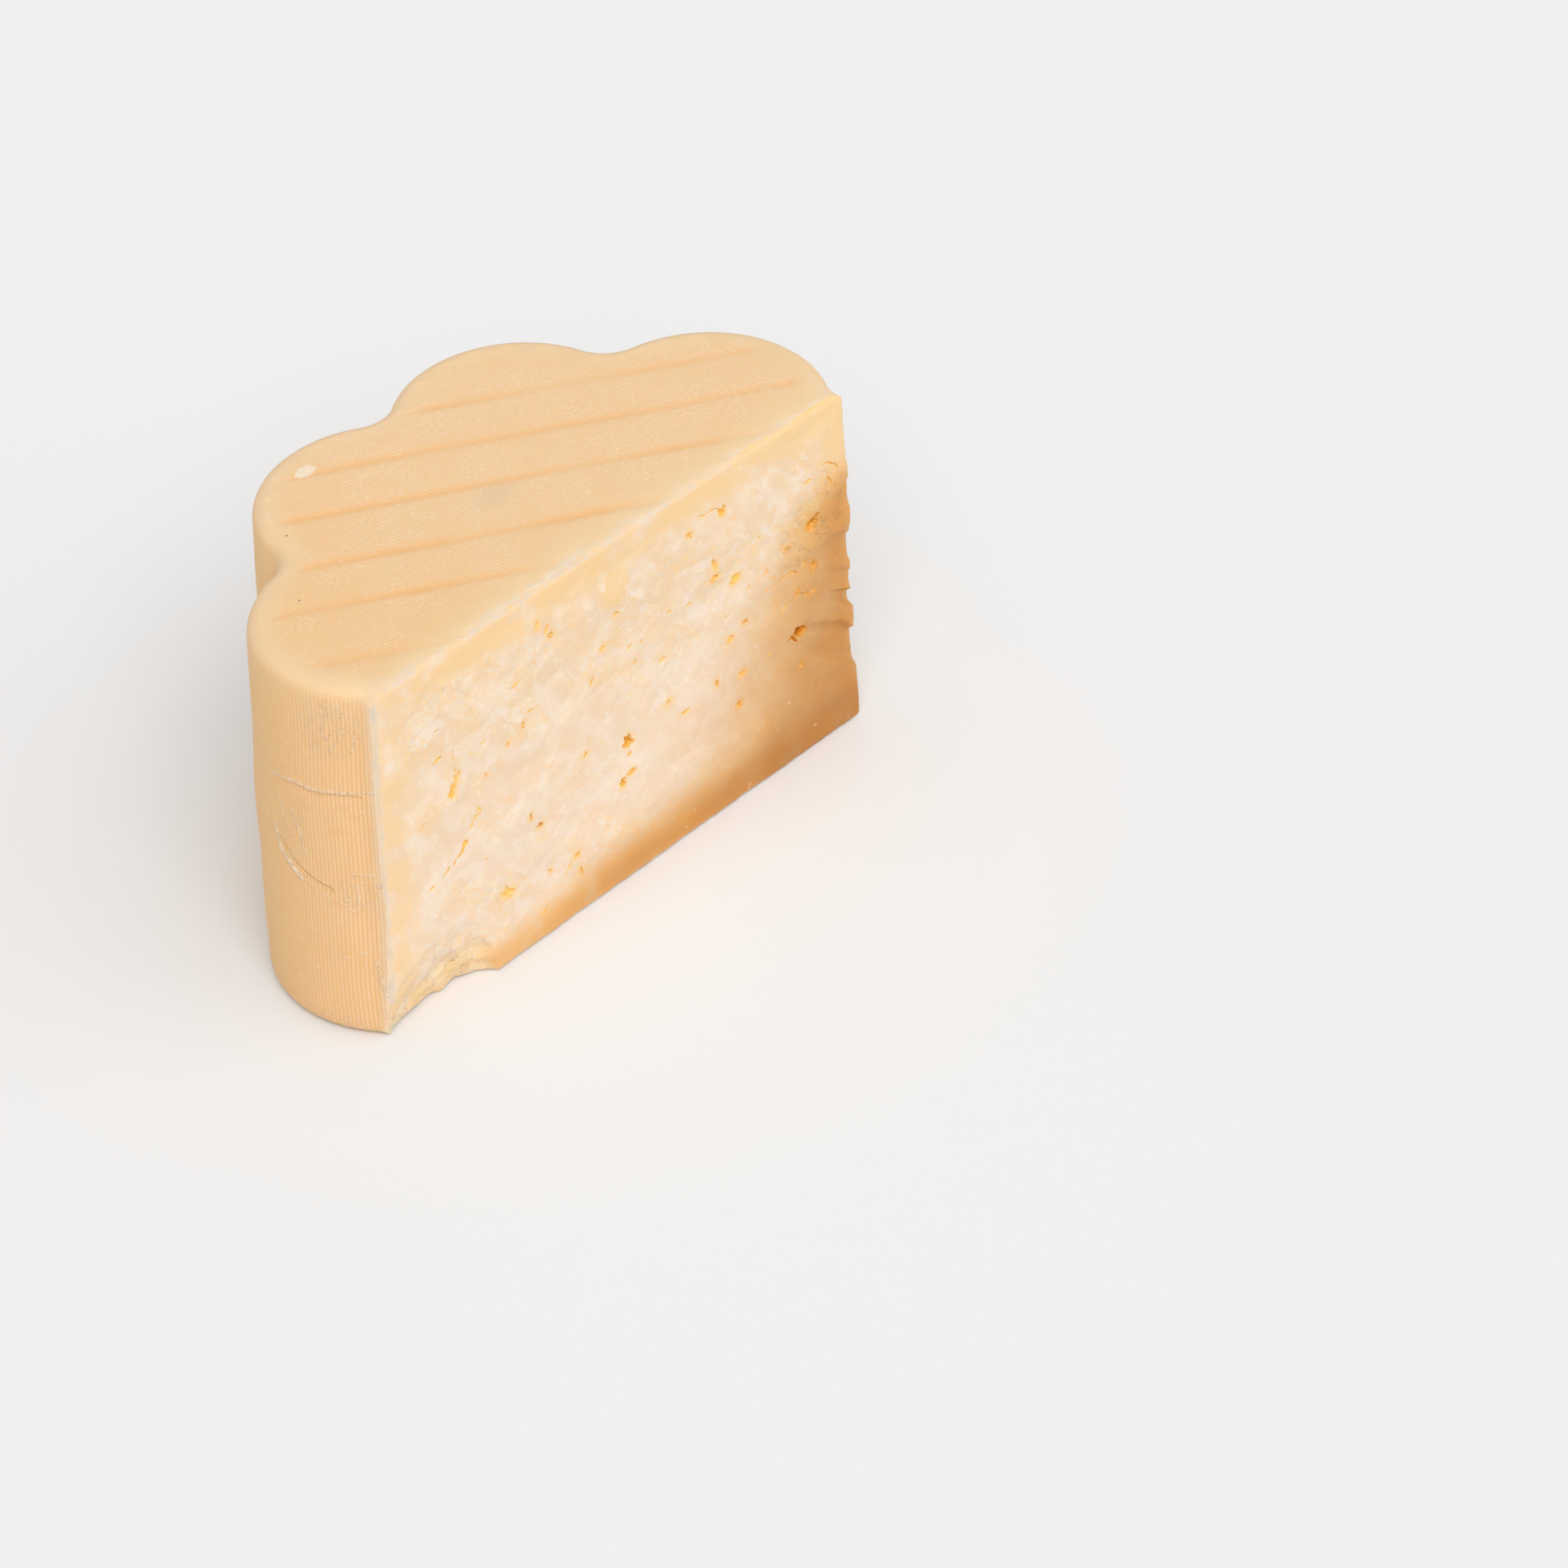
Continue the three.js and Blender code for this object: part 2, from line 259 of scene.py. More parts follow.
@dataclass
class PressedRind:
    """The rind: ribs up the side, and fine lines and broad grooves over the top.

    Attributes:
        form: The wheel's form.
        ribs_per_petal: How many ribs go round one petal and its notch.
        columns_per_rib: How many columns of faces make one rib.
        rib_depth: How deep the gaps between the ribs are.
        row_pitch: The height of a row of faces on the side.
        line_pitch: The distance between two fine lines on the top.
        line_depth: How deep the fine lines are.
        line_angle: The direction of the fine lines, in radians from the X axis.
        groove_angle: The direction of the broad grooves.
        border: How far from the rim the lines start.
        beyond_cut: How far the body runs on past the cut before it is cut.
    """

    form: WheelForm
    ribs_per_petal: int = 69
    columns_per_rib: int = 4
    rib_depth: float = 0.10 * MM
    row_pitch: float = 6.7 * MM
    line_pitch: float = 1.17 * MM
    line_depth: float = 0.09 * MM
    line_angle: float = math.radians(-19.5)
    groove_angle: float = math.radians(-32.0)
    border: float = 5.0 * MM
    beyond_cut: float = 6.0 * MM
    grooves: tuple[Groove, ...] = (
        Groove(68.7 * MM, 1.7 * MM, 0.26 * MM),
        Groove(51.0 * MM, 1.8 * MM, 0.32 * MM),
        Groove(32.9 * MM, 1.7 * MM, 0.30 * MM),
        Groove(12.3 * MM, 1.9 * MM, 0.32 * MM),
        Groove(-5.0 * MM, 1.8 * MM, 0.32 * MM),
        Groove(-27.5 * MM, 2.0 * MM, 0.22 * MM),
    )

    def rounding(self, z: np.ndarray) -> np.ndarray:
        """How far the rounded edges draw the side in at a height."""
        r = self.form.edge_rounding
        past = np.maximum(np.maximum(r - z, z - (self.form.height - r)), 0.0)
        return r - np.sqrt(np.maximum(r**2 - past**2, 0.0))

    def row_heights(self) -> list[float]:
        """The heights of the rows: evenly up the side, closer together on the rounded edges."""
        r, height = self.form.edge_rounding, self.form.height
        steps = 5
        turns = [math.pi / 2 * step / steps for step in range(1, steps + 1)]
        lower = [r - r * math.cos(turn) for turn in turns]
        upper = [height - low for low in lower]
        count = round((height - 2 * r) / self.row_pitch)
        side = [r + (height - 2 * r) * row / count for row in range(1, count)]
        return sorted(lower + side + upper)

    def across(self, angle: float, x: np.ndarray, y: np.ndarray) -> np.ndarray:
        """How far places on the top lie from the middle, square to a direction."""
        return -x * math.sin(angle) + y * math.cos(angle)

    def along(self, angle: float, x: np.ndarray, y: np.ndarray) -> np.ndarray:
        """How far places on the top lie from the middle, along a direction."""
        return x * math.cos(angle) + y * math.sin(angle)

    def groove_amount(self, x: np.ndarray, y: np.ndarray) -> np.ndarray:
        """How deep the broad grooves are at places on the top, as a share of the deepest."""
        across, along = self.across(self.groove_angle, x, y), self.along(self.groove_angle, x, y)
        wander = 0.5 * MM * bumps(along / (34 * MM), across / (60 * MM), 5)
        amount = np.zeros(len(x))
        deepest = max(groove.depth for groove in self.grooves)
        for index, groove in enumerate(self.grooves):
            away = (across + wander - groove.offset) / groove.width
            steep = np.where(away < 0.0, np.exp(-(away**2) * 2.2), np.exp(-(away**2) * 0.8))
            fade = 0.7 + 0.3 * bumps(along / (26 * MM), np.full(len(x), 7.3 * index), 9)
            amount = np.maximum(amount, steep * fade * groove.depth / deepest)
        return amount

    def line_wave(self, x: np.ndarray, y: np.ndarray) -> np.ndarray:
        """The fine lines at places on the top: 1 on their crests and 0 between them."""
        return 0.5 + 0.5 * np.cos(2 * math.pi * self.across(self.line_angle, x, y) / self.line_pitch)

    def top_relief(self, x: np.ndarray, y: np.ndarray) -> np.ndarray:
        """The height of the top's relief at places on it."""
        across, along = self.across(self.line_angle, x, y), self.along(self.line_angle, x, y)
        inside = smoothstep(self.form.rim_distance(x, y), 0.6 * self.border, 1.5 * self.border)
        strength = 0.75 + 0.5 * bumps(along / (14 * MM), across / (9 * MM), 3)
        lines = self.line_depth * strength * (self.line_wave(x, y) - 1.0)
        waves = 0.16 * MM * bumps(along / (30 * MM), across / (21 * MM), 31)
        deepest = max(groove.depth for groove in self.grooves)
        return inside * (lines + waves - deepest * self.groove_amount(x, y))

    def side_relief(self, around: np.ndarray, z: np.ndarray) -> np.ndarray:
        """How far the side stands out or in at places on it."""
        pitch = self.form.cell_length / self.ribs_per_petal
        height = self.form.height
        from_end = np.minimum(around, self.form.petal_count / 2 * self.form.cell_length - around)
        fade = smoothstep(z, 1.5 * MM, 5 * MM) * (1.0 - smoothstep(z, height - 5.5 * MM, height - 2.5 * MM))
        fade *= smoothstep(from_end, 0.8 * MM, 2.8 * MM)
        strength = 0.8 + 0.4 * bumps(around / (11 * MM), z / (17 * MM), 13)
        ribs = self.rib_depth * fade * strength * (0.5 * np.cos(2 * math.pi * around / pitch) - 0.5)
        waves = 0.38 * MM * bumps(around / (24 * MM), z / (19 * MM), 17)
        dents = 0.14 * MM * bumps(around / (8 * MM), z / (9 * MM), 19)
        flat = 4.0 * (z / height) * (1.0 - z / height)
        return ribs + (waves + dents) * np.clip(flat * 3.0, 0.0, 1.0)

    def build(self) -> bpy.types.Object:
        """Models the ribbed body, a little more than the half that stays.

        Returns:
            The closed body, with the wheel's middle at the origin.
        """
        form = self.form
        columns = form.petal_count * self.ribs_per_petal * self.columns_per_rib
        bpy.ops.mesh.primitive_cylinder_add(
            vertices=columns, radius=form.reach, depth=form.height, end_fill_type="NGON", location=(0, 0, form.height / 2)
        )
        body = bpy.context.object
        bpy.ops.object.transform_apply(location=True, rotation=True, scale=True)
        self._draw_petals(body)
        bpy.ops.object.mode_set(mode="EDIT")
        bpy.ops.mesh.select_all(action="SELECT")
        bpy.ops.mesh.bisect(
            plane_co=(0, -self.beyond_cut, 0), plane_no=(0, 1, 0), use_fill=True, clear_inner=True, threshold=1e-7
        )
        self._bisect_top(body)
        bpy.ops.mesh.reveal()
        for height in self.row_heights()[:-1]:
            bpy.ops.mesh.select_all(action="SELECT")
            bpy.ops.mesh.bisect(plane_co=(0, 0, height), plane_no=(0, 0, 1), threshold=1e-7)
        bpy.ops.object.mode_set(mode="OBJECT")
        self._press_rind(body)
        return body

    def _draw_petals(self, body: bpy.types.Object) -> None:
        """Moves the cylinder's two rings onto the petalled outline, inside the rounded edges."""
        points = read_points(body)
        turn = np.arctan2(points[:, 1], points[:, 0]) % (2 * math.pi)
        around = turn / (2 * math.pi) * self.form.petal_count * self.form.cell_length
        outline, normals = self.form.outline(around)
        points[:, :2] = outline - self.form.edge_rounding * normals
        write_points(body, points)

    def _bisect_top(self, body: bpy.types.Object) -> None:
        """Cuts the top face into narrow strips along the lines, and across them."""
        bpy.ops.mesh.select_mode(type="FACE")
        bpy.ops.object.mode_set(mode="OBJECT")
        for polygon in body.data.polygons:
            polygon.select = polygon.normal.z > 0.9
        bpy.ops.object.mode_set(mode="EDIT")
        bpy.ops.mesh.hide(unselected=True)
        reach = self.form.reach
        for offset in np.arange(-0.75 * reach, reach, self.line_pitch / 3):
            self._bisect_along(self.line_angle, float(offset))
        for groove in self.grooves:
            for step in (-1.2, -0.6, 0.0, 0.7, 1.5):
                self._bisect_along(self.groove_angle, groove.offset + step * groove.width)
        for offset in np.arange(-1.1 * reach, 1.1 * reach, 9.0 * MM):
            self._bisect_along(self.line_angle + math.pi / 2, float(offset))

    def _bisect_along(self, angle: float, offset: float) -> None:
        """Cuts what shows in edit mode along a line.

        Args:
            angle: The line's direction, in radians from the X axis.
            offset: How far the line runs from the wheel's middle.
        """
        normal = Vector((-math.sin(angle), math.cos(angle), 0.0))
        bpy.ops.mesh.select_all(action="SELECT")
        bpy.ops.mesh.bisect(plane_co=normal * offset, plane_no=normal, threshold=1e-7)

    def _press_rind(self, body: bpy.types.Object) -> None:
        """Gives the side its taper, rounded edges and ribs, and the top its lines and grooves."""
        form = self.form
        points = read_points(body)
        x, y, z = points.T.copy()
        rim = np.zeros(len(points), bool)
        side = side_vertices(body)
        rim[side] = True
        rim &= y > -self.beyond_cut + 1e-6
        angle = np.arctan2(y, x)
        angle = np.where(angle < -math.pi / 2, angle + 2 * math.pi, angle)
        around = form.around_from_angle(angle, form.edge_rounding)
        outline, normals = form.outline(around)
        out = self.side_relief(around, z) - self.rounding(z)
        scale = form.scale_at(z)[:, None]
        shaped = (outline + out[:, None] * normals) * scale
        points[rim, :2] = shaped[rim]
        flat = ~rim & (z > form.height - 1e-6)
        points[flat, 2] += self.top_relief(x[flat], y[flat])
        backs = ~rim & (y < -self.beyond_cut + 1e-6)
        points[backs, :2] *= form.scale_at(z)[backs, None]
        write_points(body, points)


def read_points(piece: bpy.types.Object) -> np.ndarray:
    """The places of a mesh's vertices, one row each."""
    points = np.zeros(len(piece.data.vertices) * 3)
    piece.data.vertices.foreach_get("co", points)
    return points.reshape(-1, 3)


def write_points(piece: bpy.types.Object, points: np.ndarray) -> None:
    """Moves a mesh's vertices.

    Args:
        piece: The mesh's object.
        points: The new places, one row each.
    """
    piece.data.vertices.foreach_set("co", points.ravel())
    piece.data.update()


def side_vertices(piece: bpy.types.Object) -> np.ndarray:
    """The numbers of the vertices that a face of the upright side uses."""
    mesh = piece.data
    normals = np.zeros(len(mesh.polygons) * 3)
    mesh.polygons.foreach_get("normal", normals)
    upright = np.abs(normals.reshape(-1, 3)[:, 2]) < 0.5
    starts = np.zeros(len(mesh.polygons), int)
    totals = np.zeros(len(mesh.polygons), int)
    mesh.polygons.foreach_get("loop_start", starts)
    mesh.polygons.foreach_get("loop_total", totals)
    corners = np.zeros(len(mesh.loops), int)
    mesh.loops.foreach_get("vertex_index", corners)
    owner = np.repeat(np.arange(len(totals)), totals)
    return np.unique(corners[upright[owner]])


@dataclass
class TornLayer:
    """One layer of the torn relief: how high its crags are, how far apart, and its pattern."""

    height: float
    length: float
    seed: int


@dataclass
class Chip:
    """The chip broken out of the lower left corner of the cut."""

    middle: float = -66 * MM
    left_length: float = 24 * MM
    right_length: float = 15 * MM
    depth: float = 6.6 * MM
    height: float = 24 * MM
    crumbs: float = 0.55 * MM
    crumb_size: float = 3 * MM
    seed: int = 37

    def share(self, x: np.ndarray, z: np.ndarray) -> tuple[np.ndarray, np.ndarray]:
        """Where places on the cut lie in the chip.

        Args:
            x: Places along the cut.
            z: Heights above the base.

        Returns:
            The chip's roundness there, and how much of its height is left above.
        """
        across = (x - self.middle) / np.where(x < self.middle, self.left_length, self.right_length)
        roundness = np.sqrt(np.maximum(1.0 - across**2, 0.0))
        left = np.where(np.abs(across) < 1.0, 1.0 - z / (self.height * (0.15 + 0.85 * roundness)), 0.0)
        return roundness, np.clip(left, 0.0, 1.3)

    def deepness(self, x: np.ndarray, z: np.ndarray) -> np.ndarray:
        """How deep the chip goes at places on the cut."""
        roundness, left = self.share(x, z)
        crumbs = self.crumbs * bumps(x / self.crumb_size, z / self.crumb_size, self.seed)
        finer = 0.5 * self.crumbs * bumps(2.6 * x / self.crumb_size, 2.8 * z / self.crumb_size, self.seed + 1)
        rise = np.sqrt(np.minimum(left * 2.5, 1.0))
        return np.maximum(0.0, self.depth * roundness * left**1.1 + (crumbs + finer) * rise * (left > 0.0))


@dataclass
class Bite:
    """A flake broken out of the right end: its height, half height, depth and how far in it runs."""

    height: float
    half_height: float
    depth: float
    length: float


@dataclass
class BrokenEnd:
    """The right end of the cut, which broke off in flakes above a slanting ridge.

    Attributes:
        end: Where the upright edge is.
        ridge_start: Where the ridge starts along the cut.
        ridge_slope: How fast the ridge falls along the cut.
        ridge_height: The ridge's height at its start.
        fade: How sharp the ridge is.
        proud: How far the upper part stands proud of the cut at the edge.
        proud_from: The height from which it does.
        bite_slope: How fast the flakes rise on their way from the edge.
        bites: The flakes.
    """

    end: float = 83 * MM
    ridge_start: float = 57.6 * MM
    ridge_slope: float = -0.74
    ridge_height: float = 38.6 * MM
    fade: float = 1.6 * MM
    proud: float = 1.3 * MM
    proud_from: float = 60 * MM
    bite_slope: float = 0.6
    bites: tuple[Bite, ...] = (
        Bite(25.5 * MM, 7.0 * MM, 2.3 * MM, 26 * MM),
        Bite(40.5 * MM, 2.3 * MM, 2.2 * MM, 11 * MM),
        Bite(46.5 * MM, 3.6 * MM, 0.9 * MM, 15 * MM),
        Bite(57.5 * MM, 5.0 * MM, 0.9 * MM, 13 * MM),
        Bite(76.5 * MM, 5.0 * MM, 0.8 * MM, 8 * MM),
    )

    def above_ridge(self, x: np.ndarray, z: np.ndarray) -> np.ndarray:
        """1 above the ridge, 0 below it."""
        ridge = self.ridge_height + self.ridge_slope * (x - self.ridge_start)
        wander = 0.7 * MM * bumps(x / (4 * MM), z / (30 * MM), 91)
        return smoothstep(z, ridge + wander - self.fade, ridge + wander + self.fade)

    def deepness(self, x: np.ndarray, z: np.ndarray) -> np.ndarray:
        """How deep the broken end goes at places on the cut."""
        depth = np.zeros(len(x))
        wander = 1.1 * MM * bumps(x / (5 * MM), z / (14 * MM), 93) + 0.4 * MM * bumps(x / (1.8 * MM), z / (6 * MM), 95)
        rise = self.bite_slope * (self.end - x)
        for bite in self.bites:
            away = (z + wander - bite.height - rise) / bite.half_height
            reach = smoothstep(x + 2 * wander, self.end - bite.length, self.end)
            depth = np.maximum(depth, bite.depth * np.maximum(0.0, 1.0 - away**6) * reach)
        out = smoothstep(x, self.end - 45 * MM, self.end)
        out *= smoothstep(z, self.proud_from, self.proud_from + 7 * MM)
        return depth * self.above_ridge(x, z) - self.proud * out


@dataclass
class TornCut:
    """The torn face of the cut.

    Attributes:
        form: The wheel's form.
        cell: The size of a face on the cut.
        stretch: How much longer the crags are along the cut than up it.
        waves: The coarse layers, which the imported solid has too.
        fine: Finer layers, where the paste is rough.
    """

    form: WheelForm
    cell: float = 0.66 * MM
    stretch: float = 1.5
    waves: tuple[TornLayer, ...] = (
        TornLayer(0.55 * MM, 46 * MM, 11),
        TornLayer(0.50 * MM, 15 * MM, 23),
        TornLayer(0.36 * MM, 7 * MM, 37),
    )
    fine: tuple[TornLayer, ...] = (
        TornLayer(0.11 * MM, 3.4 * MM, 41),
        TornLayer(0.05 * MM, 1.7 * MM, 43),
    )
    chip: Chip = field(default_factory=Chip)
    broken_end: BrokenEnd = field(default_factory=BrokenEnd)
    flake_length: float = 11 * MM
    flake_height: float = 0.26 * MM
    calm_edge: float = 12 * MM
    edge_rounding: float = 1.4 * MM

    def coarse(self, x: np.ndarray, z: np.ndarray) -> np.ndarray:
        """The depth of the face with its coarse relief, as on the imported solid."""
        depth = self.chip.deepness(x, z) + self.broken_end.deepness(x, z)
        calm = 0.2 + 0.8 * smoothstep(self.from_rind(x, z), 0.0, self.calm_edge)
        for layer in self.waves:
            depth += calm * layer.height * bumps(x / (layer.length * self.stretch), z / layer.length, layer.seed)
        return depth

    def half_width(self, z: np.ndarray) -> np.ndarray:
        """How far the cut reaches to each side of the middle at a height."""
        return self.form.notch_reach * self.form.scale_at(z)

    def from_rind(self, x: np.ndarray, z: np.ndarray) -> np.ndarray:
        """How far places on the cut lie inside its edge."""
        beside = self.half_width(z) - np.abs(x)
        return np.minimum(np.minimum(z, self.form.height - z), beside)

    def roughness(self, x: np.ndarray, z: np.ndarray) -> np.ndarray:
        """How rough the paste broke at places on the cut, from 0 to 1."""
        height = self.form.height
        diagonal = np.exp(-(((z - 0.74 * height) + 0.12 * x) / (0.2 * height)) ** 2)
        lower_left = np.exp(-(((x + 48 * MM) / (32 * MM)) ** 2) - ((z - 26 * MM) / (17 * MM)) ** 2)
        right = smoothstep(x, 48 * MM, 72 * MM)
        clouds = 0.5 + 0.5 * bumps(x / (17 * MM), z / (12 * MM), 51)
        rough = 0.18 + 0.6 * diagonal * clouds + 0.6 * lower_left * (0.4 + 0.6 * clouds) + 0.4 * right * clouds
        _, left = self.chip.share(x, z)
        return np.clip(rough + 1.2 * left, 0.0, 1.0)

    def flakes(self, x: np.ndarray, z: np.ndarray) -> np.ndarray:
        """Where thin flakes of paste were torn off, from 0 to 1, with a sharp lip on one side."""
        turned = x + 0.30 * z
        crossed = z - 0.20 * x
        field_ = 0.62 * bumps(turned / self.flake_length, crossed / (0.62 * self.flake_length), 61)
        field_ += 0.38 * bumps(turned / (0.34 * self.flake_length), crossed / (0.25 * self.flake_length), 67)
        field_ += 0.5 * (self.roughness(x, z) - 0.45)
        lip = smoothstep(field_, 0.10, 0.15)
        tail = 1.0 - smoothstep(field_, 0.22, 0.62)
        return lip * tail

    def deepness(self, x: np.ndarray, z: np.ndarray) -> np.ndarray:
        """The depth of the finished face at places on the cut."""
        rough = self.roughness(x, z)
        _, left = self.chip.share(x, z)
        depth = self.coarse(x, z) + self.flake_height * self.flakes(x, z) * (0.35 + 0.65 * rough)
        for layer in self.fine:
            height = layer.height * (0.25 + 1.1 * rough + 1.5 * np.minimum(3.0 * left, 1.0))
            depth += height * bumps(x / (layer.length * 1.2), z / layer.length, layer.seed)
        r = self.edge_rounding
        past = np.clip(r - self.from_rind(x, z), 0.0, r)
        chatter = 0.85 + 0.3 * bumps(x / (6 * MM), z / (6 * MM), 71)
        return depth + chatter * (r - np.sqrt(r**2 - past**2))

    def shade_and_tone_at(self, x: np.ndarray, z: np.ndarray) -> np.ndarray:
        """How much the paste's colour is darkened at places on the cut, from 0 in its middle to 1: painted shade and
        warm bounce towards the foot and the right end, where neighbouring pieces would shade it, over some real
        deepening of the paste's colour near the rind.
        """
        # Painted shade along the foot of the cut, stronger towards the right.
        base_height = 15 * MM + 9 * MM * smoothstep(x, -40 * MM, 10 * MM)
        base = 0.56 * (0.5 + 0.5 * smoothstep(x, -55 * MM, 0.0)) * (1.0 - smoothstep(z, 0.0, base_height))
        base *= 0.85 + 0.15 * smoothstep(z, 0.5 * MM, 5 * MM)
        # Painted shade over the right end, reaching further in lower down.
        lean = np.maximum(z - 30 * MM, 0.0)
        most = 0.57 - 0.05 * smoothstep(z, 20 * MM, 50 * MM)
        end = most * smoothstep(x, 5 * MM + lean, 82 * MM) * (1.0 - smoothstep(z, 74 * MM, 90 * MM))
        # Painted light: the darkening eases off in a thin strip along the right edge, a lighter glowing strip where
        # light shines through the thin edge.
        beside = self.half_width(z) - x
        glow = 1.0 - 0.12 * (1.0 - smoothstep(beside, 1.0 * MM, 3.5 * MM))
        uneven = 1.0 + 0.06 * bumps(x / (9 * MM), z / (7 * MM), 83)
        roundness, left = self.chip.share(x, z)
        torn_away = 1.0 - 0.85 * smoothstep(roundness * left, 0.0, 0.5)
        return np.clip((1.0 - (1.0 - base) * (1.0 - end * glow)) * uneven * torn_away, 0.0, 0.72)

    def build_cutter(self) -> bpy.types.Object:
        """Models the block that takes the other half away, with the torn face on one side.

        Returns:
            The closed block. Its torn face faces into the cheese.
        """
        half = self.form.reach
        spare = 2 * MM
        length = 2 * half
        height = self.form.height + 2 * spare
        columns, rows = round(length / self.cell), round(height / self.cell)
        bpy.ops.mesh.primitive_grid_add(x_subdivisions=columns, y_subdivisions=rows, size=1.0)
        block = bpy.context.object
        block.scale = (length, height, 1.0)
        block.rotation_euler = (math.pi / 2, 0.0, 0.0)
        block.location = (0.0, 0.0, self.form.height / 2)
        bpy.ops.object.transform_apply(location=True, rotation=True, scale=True)
        bpy.ops.object.mode_set(mode="EDIT")
        bpy.ops.mesh.select_all(action="SELECT")
        bpy.ops.mesh.region_to_loop()
        away = {"value": (0.0, -3 * self.chip.depth, 0.0)}
        bpy.ops.mesh.extrude_edges_move(TRANSFORM_OT_translate=away)
        bpy.ops.mesh.edge_face_add()
        bpy.ops.mesh.select_all(action="SELECT")
        bpy.ops.mesh.normals_make_consistent(inside=False)
        bpy.ops.object.mode_set(mode="OBJECT")
        points = read_points(block)
        front = points[:, 1] > -self.chip.depth
        points[front, 1] = self.deepness(points[front, 0], points[front, 2])
        write_points(block, points)
        return block


@dataclass
class Eye:
    """A hollow in the paste: place along the cut, height above the base, size and turn in degrees."""

    along: float
    up: float
    width: float
    height: float
    depth: float
    turn: float = 0.0


@dataclass
class Crack:
    """A crack in the paste: the points that it runs through, its width and its depth."""

    points: tuple[tuple[float, float], ...]
    width: float
    depth: float


